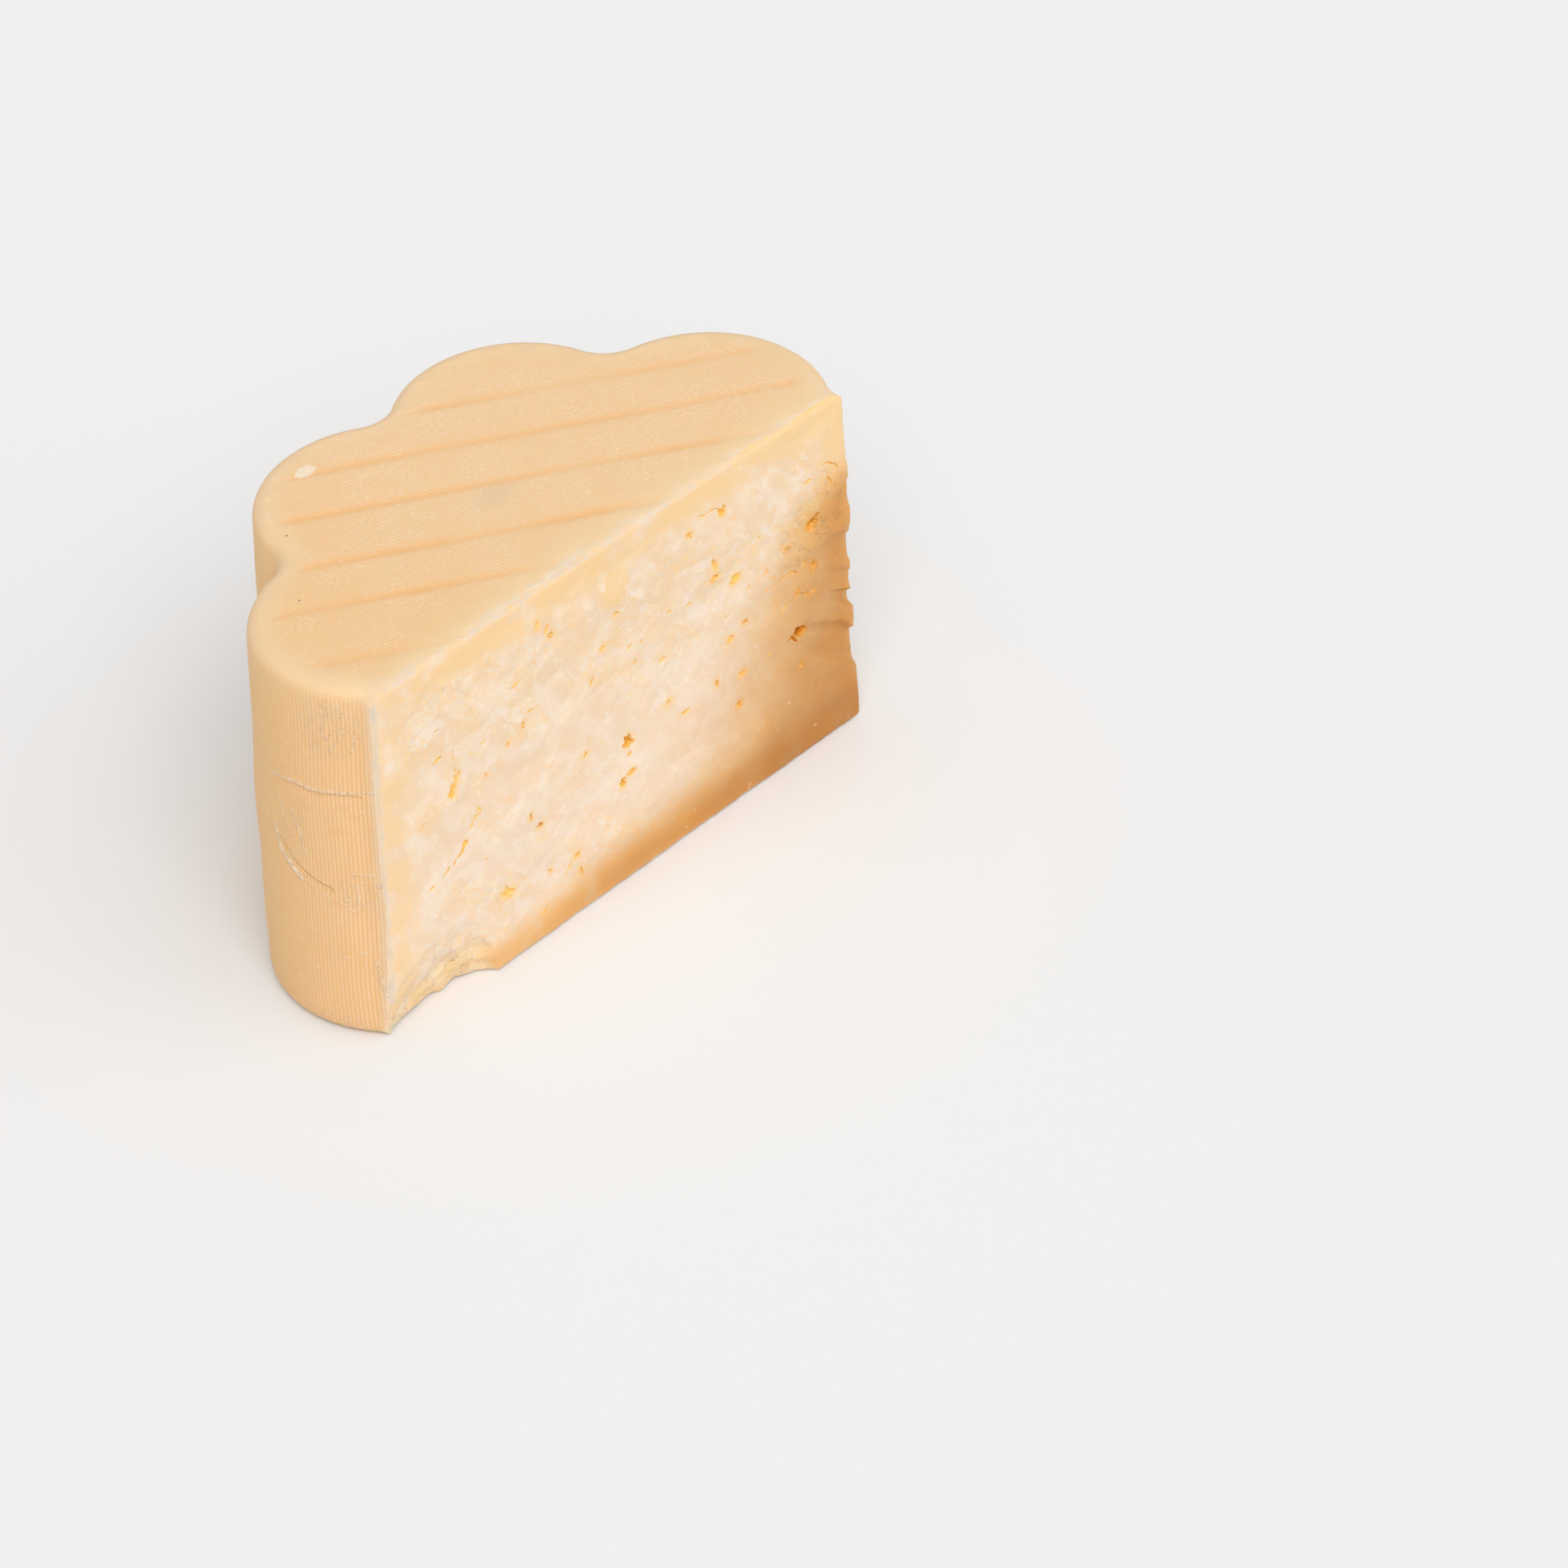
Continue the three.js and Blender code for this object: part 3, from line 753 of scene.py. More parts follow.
@dataclass
class Hollows:
    """The eyes, cracks and small pits that open at the cut.

    Attributes:
        cut: The torn face that they open on.
        eyes: The larger eyes, in millimetres.
        cracks: The cracks, in millimetres.
        pit_count: How many small pits are spread over the rough paste.
        stray: How far a hollow's wall strays from round, as a share.
        jag: How far its single points stray besides.
        lobes: How many smaller hollows pull an eye's outline out.
        halo_reach: How far the deeper colour reaches round an eye.
        crack_step: About how far apart the short hollows of a crack are.
        seed: The number that picks the random shapes.
    """

    cut: TornCut
    eyes: tuple[Eye, ...] = (
        Eye(65.2, 40.6, 6.4, 3.6, 4.6, -25.0),
        Eye(70.0, 72.6, 4.2, 3.6, 2.6, 30.0),
        Eye(71.6, 73.8, 2.2, 3.2, 3.2, -10.0),
        Eye(70.9, 58.4, 2.4, 3.4, 1.9, -30.0),
        Eye(38.6, 94.2, 2.4, 2.8, 1.6, 10.0),
        Eye(0.8, 43.3, 3.0, 4.2, 3.0, 20.0),
        Eye(-2.5, 31.4, 2.0, 3.2, 1.6, 20.0),
        Eye(0.7, 33.5, 2.8, 1.8, 1.2, 0.0),
        Eye(42.8, 70.4, 3.4, 3.0, 1.0, -40.0),
        Eye(34.9, 75.3, 3.0, 2.2, 1.0, 0.0),
        Eye(35.0, 79.5, 1.8, 4.6, 0.7, 10.0),
        Eye(41.5, 30.8, 1.8, 2.8, 1.3, 10.0),
        Eye(43.0, 39.8, 3.0, 1.6, 0.9, 30.0),
        Eye(-31.8, 36.1, 2.2, 1.6, 1.9, -20.0),
        Eye(-35.4, 41.1, 1.0, 2.8, 1.0, 0.0),
        Eye(-60.9, 65.0, 2.5, 4.4, 1.2, -12.0),
        Eye(-59.0, 68.2, 1.5, 5.2, 0.8, -35.0),
        Eye(-23.8, 91.9, 2.4, 1.8, 1.0, -10.0),
        Eye(39.5, 52.9, 2.6, 2.0, 1.0, 25.0),
        Eye(61.2, 69.5, 2.6, 1.4, 1.1, 0.0),
        Eye(-45.4, 22.8, 5.4, 2.8, 0.8, -25.0),
        Eye(-35.3, 70.6, 1.3, 2.2, 1.0, 10.0),
        Eye(-41.0, 67.9, 1.5, 1.1, 0.9, 0.0),
        Eye(-48.9, 62.9, 1.0, 1.1, 0.7, 0.0),
        Eye(-19.8, 18.3, 2.2, 2.0, 1.0, 20.0),
        Eye(-18.6, 12.8, 1.2, 2.4, 0.7, 20.0),
        Eye(-29.5, 19.4, 1.4, 1.0, 0.7, 0.0),
        Eye(-14.8, 48.4, 1.4, 1.4, 1.0, 0.0),
        Eye(15.6, 47.0, 1.2, 1.2, 0.8, 0.0),
        Eye(26.5, 93.7, 2.0, 1.6, 0.9, 0.0),
        Eye(33.3, 42.5, 1.3, 2.2, 1.1, 10.0),
        Eye(45.2, 55.3, 2.0, 1.2, 1.3, 0.0),
        Eye(65.5, 29.1, 1.6, 2.2, 1.0, 15.0),
        Eye(-0.6, 84.6, 2.0, 1.2, 0.8, 0.0),
        Eye(-28.0, 97.5, 2.0, 2.6, 0.5, 0.0),
        Eye(-6.0, 77.0, 2.6, 1.6, 0.5, -20.0),
    )
    cracks: tuple[Crack, ...] = (
        Crack(((-52.9, 55.4), (-52.2, 53.2), (-55.2, 51.6), (-55.8, 49.0)), 1.5, 0.45),
        Crack(((-57.4, 46.8), (-59.5, 44.6), (-62.4, 42.6)), 1.7, 1.1),
        Crack(((-64.0, 42.0), (-66.0, 41.2)), 1.4, 0.8),
        Crack(((-69.4, 39.9), (-71.1, 39.3)), 0.9, 0.5),
        Crack(((64.6, 55.2), (64.3, 53.0), (68.5, 51.2), (72.2, 50.2)), 1.0, 0.8),
        Crack(((58.0, 50.6), (60.4, 52.0)), 1.0, 0.5),
        Crack(((75.0, 89.0), (77.6, 88.2), (80.4, 85.6)), 0.9, 0.6),
        Crack(((76.6, 84.7), (78.8, 79.6)), 0.9, 0.6),
        Crack(((31.0, 96.9), (34.6, 97.1), (38.0, 95.4)), 0.8, 0.5),
        Crack(((51.0, 37.5), (54.0, 40.5)), 1.0, 0.5),
        Crack(((58.0, 61.5), (61.5, 61.0), (65.0, 60.0)), 0.8, 0.5),
        Crack(((-26.0, 13.0), (-21.5, 17.5)), 0.9, 0.5),
    )
    pit_count: int = 60
    pit_sizes: tuple[float, float] = (0.5, 1.8)
    stray: float = 0.32
    jag: float = 0.13
    lobes: int = 2
    halo_reach: float = 1.4
    crack_step: float = 1.5
    seed: int = 5

    def halo(self, x: np.ndarray, z: np.ndarray) -> np.ndarray:
        """How near places on the cut lie to an eye, from 0 to 1 at its middle."""
        nearest = np.zeros(len(x))
        for eye in self.eyes:
            across = (x / MM - eye.along) / (eye.width / 2 + self.halo_reach)
            up = (z / MM - eye.up) / (eye.height / 2 + self.halo_reach)
            nearest = np.maximum(nearest, np.exp(-(across**2) - up**2))
        return nearest

    def build(self) -> bpy.types.Object:
        """Models every hollow and joins them into one closed shape.

        Returns:
            The hollows as one object.
        """
        draw = np.random.default_rng(self.seed)
        pieces = [self._eye(eye, draw) for eye in self.eyes]
        pieces = [piece for group in pieces for piece in group]
        for crack in self.cracks:
            pieces += self._crack(crack, draw)
        pieces += self._pits(draw)
        count = len(pieces)
        while len(pieces) > 1:
            for left, right in zip(pieces[0::2], pieces[1::2]):
                combine(left, right, Joining.UNION)
            pieces = pieces[0::2]
        log.info("hollows: %d balls joined, %d faces", count, len(pieces[0].data.polygons))
        return pieces[0]

    def _ball(self, place: tuple[float, float, float], size: tuple[float, float, float],
              turn: float, detail: int, draw: np.random.Generator) -> bpy.types.Object:
        """Models one rough ball.

        Args:
            place: Its middle along the cut, into the cheese and up, in millimetres.
            size: Its half sizes in the same order.
            turn: Its turn about Y.
            detail: How often its faces are divided.
            draw: The random numbers.

        Returns:
            The ball.
        """
        bpy.ops.mesh.primitive_ico_sphere_add(subdivisions=detail, radius=1.0)
        ball = bpy.context.object
        points = read_points(ball)
        shift = draw.uniform(-40, 40, 3)
        coarse = bumps(1.9 * points[:, 0] + points[:, 1] + shift[0], 1.9 * points[:, 2] - points[:, 1] + shift[1], 3)
        jags = draw.uniform(-1.0, 1.0, len(points))
        points *= (1.0 + self.stray * coarse + self.jag * jags)[:, None]
        write_points(ball, points)
        ball.scale = [half * MM for half in size]
        ball.rotation_euler = (0.0, turn, 0.0)
        ball.location = [part * MM for part in place]
        bpy.ops.object.transform_apply(location=True, rotation=True, scale=True)
        return ball

    def _opening(self, along: float, up: float) -> float:
        """The depth of the torn face at a place, in millimetres."""
        return float(self.cut.deepness(np.array([along * MM]), np.array([up * MM]))[0]) / MM

    def _eye(self, eye: Eye, draw: np.random.Generator) -> list[bpy.types.Object]:
        """Models one eye: a rough ball, and smaller ones that pull its outline out.

        Args:
            eye: The eye.
            draw: The random numbers.

        Returns:
            Its balls.
        """
        turn = -math.radians(eye.turn)
        detail = 3 if eye.width + eye.height > 5.0 else 2
        size = (eye.width / 2, eye.depth, eye.height / 2)
        balls = [self._ball((eye.along, self._opening(eye.along, eye.up), eye.up), size, turn, detail, draw)]
        for _ in range(self.lobes):
            angle = draw.uniform(0, 2 * math.pi)
            along = eye.along + 0.5 * eye.width * math.cos(angle)
            up = eye.up + 0.5 * eye.height * math.sin(angle)
            size = (0.34 * eye.width, 0.6 * eye.depth, 0.16 * eye.height)
            balls.append(self._ball((along, self._opening(along, up), up), size, draw.uniform(-1.2, 1.2), 2, draw))
        return balls

    def _crack(self, crack: Crack, draw: np.random.Generator) -> list[bpy.types.Object]:
        """Models one crack: a row of short, uneven hollows along its stretches.

        Args:
            crack: The crack.
            draw: The random numbers.

        Returns:
            Its balls.
        """
        balls = []
        for start, end in zip(crack.points, crack.points[1:]):
            run = (end[0] - start[0], end[1] - start[1])
            length = math.hypot(*run)
            count = max(1, round(length / self.crack_step))
            for index in range(count):
                share = (index + draw.uniform(0.2, 0.8)) / count
                stray = draw.uniform(-0.3, 0.3, 2)
                along, up = start[0] + share * run[0] + stray[0], start[1] + share * run[1] + stray[1]
                half_length = draw.uniform(0.5, 0.95) * length / count
                size = (half_length, crack.depth, crack.width / 2 * draw.uniform(0.5, 1.3))
                turn = -math.atan2(run[1], run[0]) + draw.uniform(-0.35, 0.35)
                balls.append(self._ball((along, self._opening(along, up), up), size, turn, 2, draw))
        return balls

    def _pits(self, draw: np.random.Generator) -> list[bpy.types.Object]:
        """Models the small pits, most of them where the paste is rough."""
        balls = []
        height = self.cut.form.height / MM
        while len(balls) < self.pit_count:
            along, up = draw.uniform(-78, 80), draw.uniform(7, height - 9)
            rough = float(self.cut.roughness(np.array([along * MM]), np.array([up * MM]))[0])
            if draw.random() > rough**1.5:
                continue
            least, most = self.pit_sizes
            width = least + (most - least) * draw.random() ** 2
            size = (width / 2 * draw.uniform(0.9, 2.2), 0.40 * width, width / 2 * draw.uniform(0.5, 1.0))
            turn = draw.uniform(-1.1, 0.4)
            balls.append(self._ball((along, self._opening(along, up), up), size, turn, 2, draw))
        return balls


class Joining(Enum):
    """The ways in which two closed shapes are combined."""

    UNION = "UNION"
    DIFFERENCE = "DIFFERENCE"


def combine(whole: bpy.types.Object, tool: bpy.types.Object, joining: Joining) -> None:
    """Joins a closed shape with another or cuts it by that, and removes the other.

    Args:
        whole: The shape that stays.
        tool: The shape that is used up.
        joining: How they are combined.
    """
    bpy.ops.object.select_all(action="DESELECT")
    bpy.context.view_layer.objects.active = whole
    whole.select_set(True)
    modifier = whole.modifiers.new("combine", "BOOLEAN")
    modifier.operation = joining.value
    modifier.solver = "MANIFOLD"
    modifier.object = tool
    bpy.ops.object.modifier_apply(modifier=modifier.name)
    mesh = tool.data
    bpy.data.objects.remove(tool)
    bpy.data.meshes.remove(mesh)


@dataclass
class HalfWheel:
    """The dressed half wheel: its body, less the torn cut and the hollows.

    Attributes:
        form: The wheel's form.
        rind: The pressed rind.
        cut: The torn face of the cut.
        hollows: The eyes, cracks and pits.
        cut_place: Where the cut lies in the part's frame.
    """

    form: WheelForm
    rind: PressedRind
    cut: TornCut
    hollows: Hollows
    cut_place: float
    smooth_below: float = math.radians(42.0)

    def build(self) -> bpy.types.Object:
        """Models the piece, measures its patterns and puts it in its place.

        Returns:
            The finished mesh, without its materials.
        """
        piece = self.rind.build()
        piece.name = "half_wheel"
        log.info("body: %d faces", len(piece.data.polygons))
        taken = self.cut.build_cutter()
        opened = self.hollows.build()
        for tool in (taken, opened):
            mark_skin(tool, Skin.PASTE)
        combine(taken, opened, Joining.UNION)
        combine(piece, taken, Joining.DIFFERENCE)
        self._measure(piece)
        bpy.ops.object.select_all(action="DESELECT")
        piece.select_set(True)
        bpy.context.view_layer.objects.active = piece
        piece.location = (0.0, self.cut_place, 0.0)
        bpy.ops.object.transform_apply(location=True, rotation=True, scale=True)
        bpy.ops.object.shade_smooth_by_angle(angle=self.smooth_below)
        return piece

    def _measure(self, piece: bpy.types.Object) -> None:
        """Writes the patterns that the finishes follow as values on the mesh's points."""
        x, y, z = read_points(piece).T
        form, cut = self.form, self.cut
        height = form.height
        angle = np.arctan2(y, x)
        angle = np.where(angle < -math.pi / 2, angle + 2 * math.pi, angle)
        around = form.around_from_angle(angle, 0.0)
        pitch = form.cell_length / self.rind.ribs_per_petal
        scale = form.scale_at(z)
        rim = form.rim_distance(x / scale, y / scale)
        lined = smoothstep(rim, 0.5 * self.rind.border, 1.6 * self.rind.border)
        opening = cut.deepness(x, z)
        write_values(piece, "rib", 0.5 + 0.5 * np.cos(2 * math.pi * around / pitch))
        write_values(piece, "from_corner", form.petal_count / 2 * form.cell_length - around)
        write_values(piece, "line", self.rind.line_wave(x, y))
        write_values(piece, "lined", lined)
        write_values(piece, "groove", self.rind.groove_amount(x, y) * lined)
        write_values(piece, "rim", rim)
        write_values(piece, "on_top", smoothstep(z, height - form.edge_rounding, height - 0.3 * MM))
        write_values(piece, "from_cut", y - opening)
        write_values(piece, "from_rind", cut.from_rind(x, z))
        write_values(piece, "deep", np.maximum(y - opening, 0.0))
        write_values(piece, "rough", cut.roughness(x, z))
        write_values(piece, "flake", cut.flakes(x, z))
        # Painted shade with some deeper tone: how far the paste is darkened towards its foot and right end.
        write_values(piece, "shade_and_tone", cut.shade_and_tone_at(x, z))
        write_values(piece, "halo", self.hollows.halo(x, z))


def write_values(piece: bpy.types.Object, name: str, values: np.ndarray) -> None:
    """Stores one number for each vertex of a mesh.

    Args:
        piece: The mesh's object.
        name: What the numbers are called.
        values: The numbers.
    """
    layer = piece.data.attributes.new(name, "FLOAT", "POINT")
    layer.data.foreach_set("value", np.ascontiguousarray(values, dtype=np.float32))


def mark_skin(piece: bpy.types.Object, skin: Skin) -> None:
    """Gives all faces of a mesh one of the cheese's surfaces."""
    piece.data.polygons.foreach_set("material_index", np.full(len(piece.data.polygons), skin.value))


def dress(piece: bpy.types.Object, materials: dict[Skin, bpy.types.Material]) -> None:
    """Puts the materials on a piece, and keeps which face has which.

    Args:
        piece: The piece.
        materials: The material of each surface, in the order of the surfaces.
    """
    places = np.zeros(len(piece.data.polygons), np.int32)
    piece.data.polygons.foreach_get("material_index", places)
    piece.data.materials.clear()
    for skin in Skin:
        piece.data.materials.append(materials[skin])
    piece.data.polygons.foreach_set("material_index", places)
    log.info("%s: %d faces of %d are paste", piece.name, int((places == Skin.PASTE.value).sum()), len(places))


Colour = tuple[float, float, float]


class NodeSheet:
    """Adds nodes to one material or group, and links them."""

    def __init__(self, tree: bpy.types.NodeTree) -> None:
        """Starts on a node tree."""
        self.tree = tree

    def add(self, kind: str, values: dict[str | int, object] | None = None, **settings: object) -> bpy.types.Node:
        """Adds a node.

        Args:
            kind: The node's type.
            values: What its inputs hold or are linked to, by name or place.
            settings: The node's own settings.

        Returns:
            The node.
        """
        node = self.tree.nodes.new(kind)
        for name, setting in settings.items():
            setattr(node, name, setting)
        for name, value in (values or {}).items():
            if isinstance(value, bpy.types.NodeSocket):
                self.tree.links.new(value, node.inputs[name])
            else:
                node.inputs[name].default_value = value
        return node

    def maths(self, operation: str, *values: object) -> bpy.types.NodeSocket:
        """Works out one number, kept between 0 and 1 only by the operation itself."""
        return self.add("ShaderNodeMath", dict(enumerate(values)), operation=operation).outputs[0]

    def vectors(self, operation: str, *values: object) -> bpy.types.NodeSocket:
        """Works out one vector, or one number from vectors."""
        node = self.add("ShaderNodeVectorMath", dict(enumerate(values)), operation=operation)
        return node.outputs["Value" if operation in ("LENGTH", "DOT_PRODUCT") else "Vector"]

    def band(self, value: object, low: object, high: object) -> bpy.types.NodeSocket:
        """A smooth step: 0 where the value is low, 1 where it is high."""
        values = {"Value": value, "From Min": low, "From Max": high}
        return self.add("ShaderNodeMapRange", values, interpolation_type="SMOOTHSTEP").outputs[0]

    def blend(self, share: object, first: object, second: object, kind: str = "MIX") -> bpy.types.NodeSocket:
        """Mixes two colours.

        Args:
            share: How much of the second shows.
            first: A colour or a socket.
            second: A colour or a socket.
            kind: How they mix.

        Returns:
            The mixed colour.
        """
        first, second = (item if isinstance(item, bpy.types.NodeSocket) else (*item, 1.0) for item in (first, second))
        node = self.add("ShaderNodeMix", data_type="RGBA", blend_type=kind)
        for place, value in ((0, share), (6, first), (7, second)):
            if isinstance(value, bpy.types.NodeSocket):
                self.tree.links.new(value, node.inputs[place])
            else:
                node.inputs[place].default_value = value
        return node.outputs[2]

    def ramp(self, value: bpy.types.NodeSocket, stops: tuple[tuple[float, Colour], ...]) -> bpy.types.NodeSocket:
        """A colour for each value.

        Args:
            value: The value.
            stops: The colours along the way, each with its place from 0 to 1.

        Returns:
            The colour.
        """
        node = self.add("ShaderNodeValToRGB", {0: value})
        points = node.color_ramp.elements
        while len(points) < len(stops):
            points.new(1.0)
        for point, (position, colour) in zip(points, stops):
            point.position = position
            point.color = (*colour, 1.0)
        return node.outputs[0]

    def values(self, name: str) -> bpy.types.NodeSocket:
        """The numbers that the mesh holds under a name."""
        return self.add("ShaderNodeAttribute", attribute_name=name).outputs["Fac"]

    def place(self, stretch: Colour = (1.0, 1.0, 1.0), turn: Colour = (0.0, 0.0, 0.0)) -> bpy.types.NodeSocket:
        """Places on the object.

        Args:
            stretch: How often a pattern repeats along each axis, compared with before.
            turn: How far the places are turned before that, in radians about each axis.

        Returns:
            The places.
        """
        source = self.add("ShaderNodeTexCoord").outputs["Object"]
        turned = self.add("ShaderNodeMapping", {"Vector": source, "Rotation": turn}).outputs[0]
        return self.add("ShaderNodeMapping", {"Vector": turned, "Scale": stretch}).outputs[0]

    def noise(self, vector: bpy.types.NodeSocket, size: float, detail: float, roughness: float = 0.5) -> bpy.types.NodeSocket:
        """Smooth random numbers about one size apart."""
        values = {"Vector": vector, "Scale": 1.0 / size, "Detail": detail, "Roughness": roughness}
        return self.add("ShaderNodeTexNoise", values).outputs[0]

    def group(self, tree: bpy.types.NodeTree, values: dict[str | int, object]) -> bpy.types.Node:
        """Places a node group, with its own values."""
        node = self.add("ShaderNodeGroup")
        node.node_tree = tree
        for name, value in values.items():
            if isinstance(value, bpy.types.NodeSocket):
                self.tree.links.new(value, node.inputs[name])
            else:
                node.inputs[name].default_value = value
        return node


def new_group(name: str, inputs: dict[str, tuple[str, object]], outputs: dict[str, str]) -> tuple[NodeSheet, bpy.types.Node, bpy.types.Node]:
    """Starts a node group.

    Args:
        name: The group's name.
        inputs: Each input's kind and first value, by name.
        outputs: Each output's kind, by name.

    Returns:
        The sheet to add nodes with, the group's input node and its output node.
    """
    tree = bpy.data.node_groups.new(name, "ShaderNodeTree")
    for title, (kind, value) in inputs.items():
        socket = tree.interface.new_socket(name=title, in_out="INPUT", socket_type=f"NodeSocket{kind}")
        if value is not None:
            socket.default_value = value
    for title, kind in outputs.items():
        tree.interface.new_socket(name=title, in_out="OUTPUT", socket_type=f"NodeSocket{kind}")
    sheet = NodeSheet(tree)
    return sheet, sheet.add("NodeGroupInput"), sheet.add("NodeGroupOutput")


def make_flecks() -> bpy.types.NodeTree:
    """Small scattered dots, such as crystals, bloom and pin-holes.

    Returns:
        A group with the inputs Vector, Spacing, Dot and Share and the output Mask.
    """
    inputs = {"Vector": ("Vector", None), "Spacing": ("Float", 0.003), "Dot": ("Float", 0.2), "Share": ("Float", 0.5)}
    sheet, given, out = new_group("flecks", inputs, {"Mask": "Float"})
    scale = sheet.maths("DIVIDE", 1.0, given.outputs["Spacing"])
    wobble = sheet.add("ShaderNodeTexNoise", {"Vector": given.outputs["Vector"], "Scale": scale, "Detail": 2.0})
    shaken = sheet.add("ShaderNodeVectorMath", {0: wobble.outputs[1], 1: (0.004, 0.004, 0.004)}, operation="MULTIPLY")
    moved = sheet.add("ShaderNodeVectorMath", {0: given.outputs["Vector"], 1: shaken.outputs[0]}, operation="ADD")
    cells = sheet.add("ShaderNodeTexVoronoi", {"Vector": moved.outputs[0], "Scale": scale}, feature="F1")
    hue = sheet.add("ShaderNodeSeparateColor", {0: cells.outputs["Color"]})
    size = sheet.maths("MULTIPLY", given.outputs["Dot"], sheet.maths("ADD", hue.outputs[1], 0.35))
    near = sheet.maths("LESS_THAN", cells.outputs["Distance"], size)
    soft = sheet.maths("SUBTRACT", 1.0, sheet.maths("DIVIDE", cells.outputs["Distance"], size))
    chosen = sheet.maths("LESS_THAN", hue.outputs[0], given.outputs["Share"])
    dot = sheet.maths("MULTIPLY", near, sheet.maths("POWER", sheet.maths("MAXIMUM", soft, 0.0), 0.5))
    sheet.tree.links.new(sheet.maths("MULTIPLY", dot, chosen), out.inputs["Mask"])
    return sheet.tree


def make_grain() -> bpy.types.NodeTree:
    """The fine grain of the surface, coarse and fine together.

    Returns:
        A group with the inputs Vector, Size, Depth and Amount and the outputs Height and Normal.
    """
    inputs = {"Vector": ("Vector", None), "Size": ("Float", 0.001), "Depth": ("Float", 0.0001), "Amount": ("Float", 1.0)}
    sheet, given, out = new_group("grain", inputs, {"Height": "Float", "Normal": "Vector"})
    scale = sheet.maths("DIVIDE", 1.0, given.outputs["Size"])
    coarse = sheet.add("ShaderNodeTexNoise", {"Vector": given.outputs["Vector"], "Scale": scale, "Detail": 4.0})
    finer = sheet.maths("MULTIPLY", scale, 3.7)
    fine = sheet.add("ShaderNodeTexNoise", {"Vector": given.outputs["Vector"], "Scale": finer, "Detail": 3.0})
    height = sheet.maths("ADD", coarse.outputs[0], sheet.maths("MULTIPLY", fine.outputs[0], 0.3))
    bump = sheet.add("ShaderNodeBump", {"Height": height, "Distance": given.outputs["Depth"], "Strength": given.outputs["Amount"]})
    sheet.tree.links.new(height, out.inputs["Height"])
    sheet.tree.links.new(bump.outputs[0], out.inputs["Normal"])
    return sheet.tree


def make_crumbs() -> bpy.types.NodeTree:
    """Crumbly paste: small rough crumbs in patches, with hollows between them.

    Returns:
        A group with the inputs Vector, Size, Depth and Amount and the outputs Top, Crevice, Rim and Normal.
    """
    inputs = {"Vector": ("Vector", None), "Size": ("Float", 0.001), "Depth": ("Float", 0.0001), "Amount": ("Float", 1.0)}
    sheet, given, out = new_group("crumbs", inputs, {"Top": "Float", "Crevice": "Float", "Rim": "Float", "Normal": "Vector"})
    place, size = given.outputs["Vector"], given.outputs["Size"]
    scale = sheet.maths("DIVIDE", 1.0, size)
    wobble = sheet.add("ShaderNodeTexNoise", {"Vector": place, "Scale": sheet.maths("MULTIPLY", scale, 0.7), "Detail": 3.0})
    shift = sheet.vectors("SUBTRACT", wobble.outputs["Color"], (0.5, 0.5, 0.5))
    reach = sheet.maths("MULTIPLY", size, 1.8)
    moved = sheet.vectors("ADD", place, sheet.vectors("MULTIPLY", shift, sheet.add("ShaderNodeCombineXYZ", {0: reach, 1: reach, 2: reach}).outputs[0]))
    cells = sheet.add("ShaderNodeTexVoronoi", {"Vector": moved, "Scale": scale, "Detail": 1.0}, feature="F1")
    fine = sheet.add("ShaderNodeTexNoise", {"Vector": place, "Scale": sheet.maths("MULTIPLY", scale, 2.5), "Detail": 3.0})
    height = sheet.maths("SUBTRACT", 1.0, cells.outputs["Distance"])
    height = sheet.maths("ADD", height, sheet.maths("MULTIPLY", fine.outputs[0], 0.35))
    far = sheet.add("ShaderNodeTexNoise", {"Vector": place, "Scale": sheet.maths("MULTIPLY", scale, 0.17), "Detail": 6.0})
    zone = sheet.maths("ADD", far.outputs[0], sheet.maths("MULTIPLY", given.outputs["Amount"], 0.35))
    zone = sheet.band(zone, 0.62, 0.76)
    top = sheet.maths("MULTIPLY", zone, sheet.band(height, 0.68, 0.95))
    # Where the crumbs' crevices are; the paste paints warm shade there.
    crevice = sheet.maths("MULTIPLY", zone, sheet.band(height, 0.52, 0.30))
    torn = {"Vector": place, "Scale": sheet.maths("MULTIPLY", scale, 0.24), "Detail": 9.0, "Roughness": 0.66}
    level = sheet.add("ShaderNodeTexNoise", torn).outputs[0]
    partly = sheet.add("ShaderNodeTexNoise", {"Vector": place, "Scale": sheet.maths("MULTIPLY", scale, 0.2), "Detail": 2.0})
    shown = sheet.maths("ADD", partly.outputs[0], sheet.maths("MULTIPLY", given.outputs["Amount"], 0.12))
    shown = sheet.band(shown, 0.48, 0.64)
    flake = sheet.maths("MULTIPLY", sheet.band(level, 0.535, 0.555), shown)
    rim = sheet.band(sheet.maths("ABSOLUTE", sheet.maths("SUBTRACT", level, 0.548)), 0.014, 0.003)
    rim = sheet.maths("MULTIPLY", rim, shown)
    relief = sheet.maths("ADD", sheet.maths("MULTIPLY", flake, 0.9), sheet.maths("MULTIPLY", height, 0.5))
    broken = sheet.maths("MULTIPLY", zone, given.outputs["Amount"])
    strength = sheet.maths("ADD", 0.10, sheet.maths("MULTIPLY", broken, 0.7))
    bump = sheet.add("ShaderNodeBump", {"Height": relief, "Distance": given.outputs["Depth"], "Strength": strength})
    sheet.tree.links.new(rim, out.inputs["Rim"])
    sheet.tree.links.new(top, out.inputs["Top"])
    sheet.tree.links.new(crevice, out.inputs["Crevice"])
    sheet.tree.links.new(bump.outputs[0], out.inputs["Normal"])
    return sheet.tree


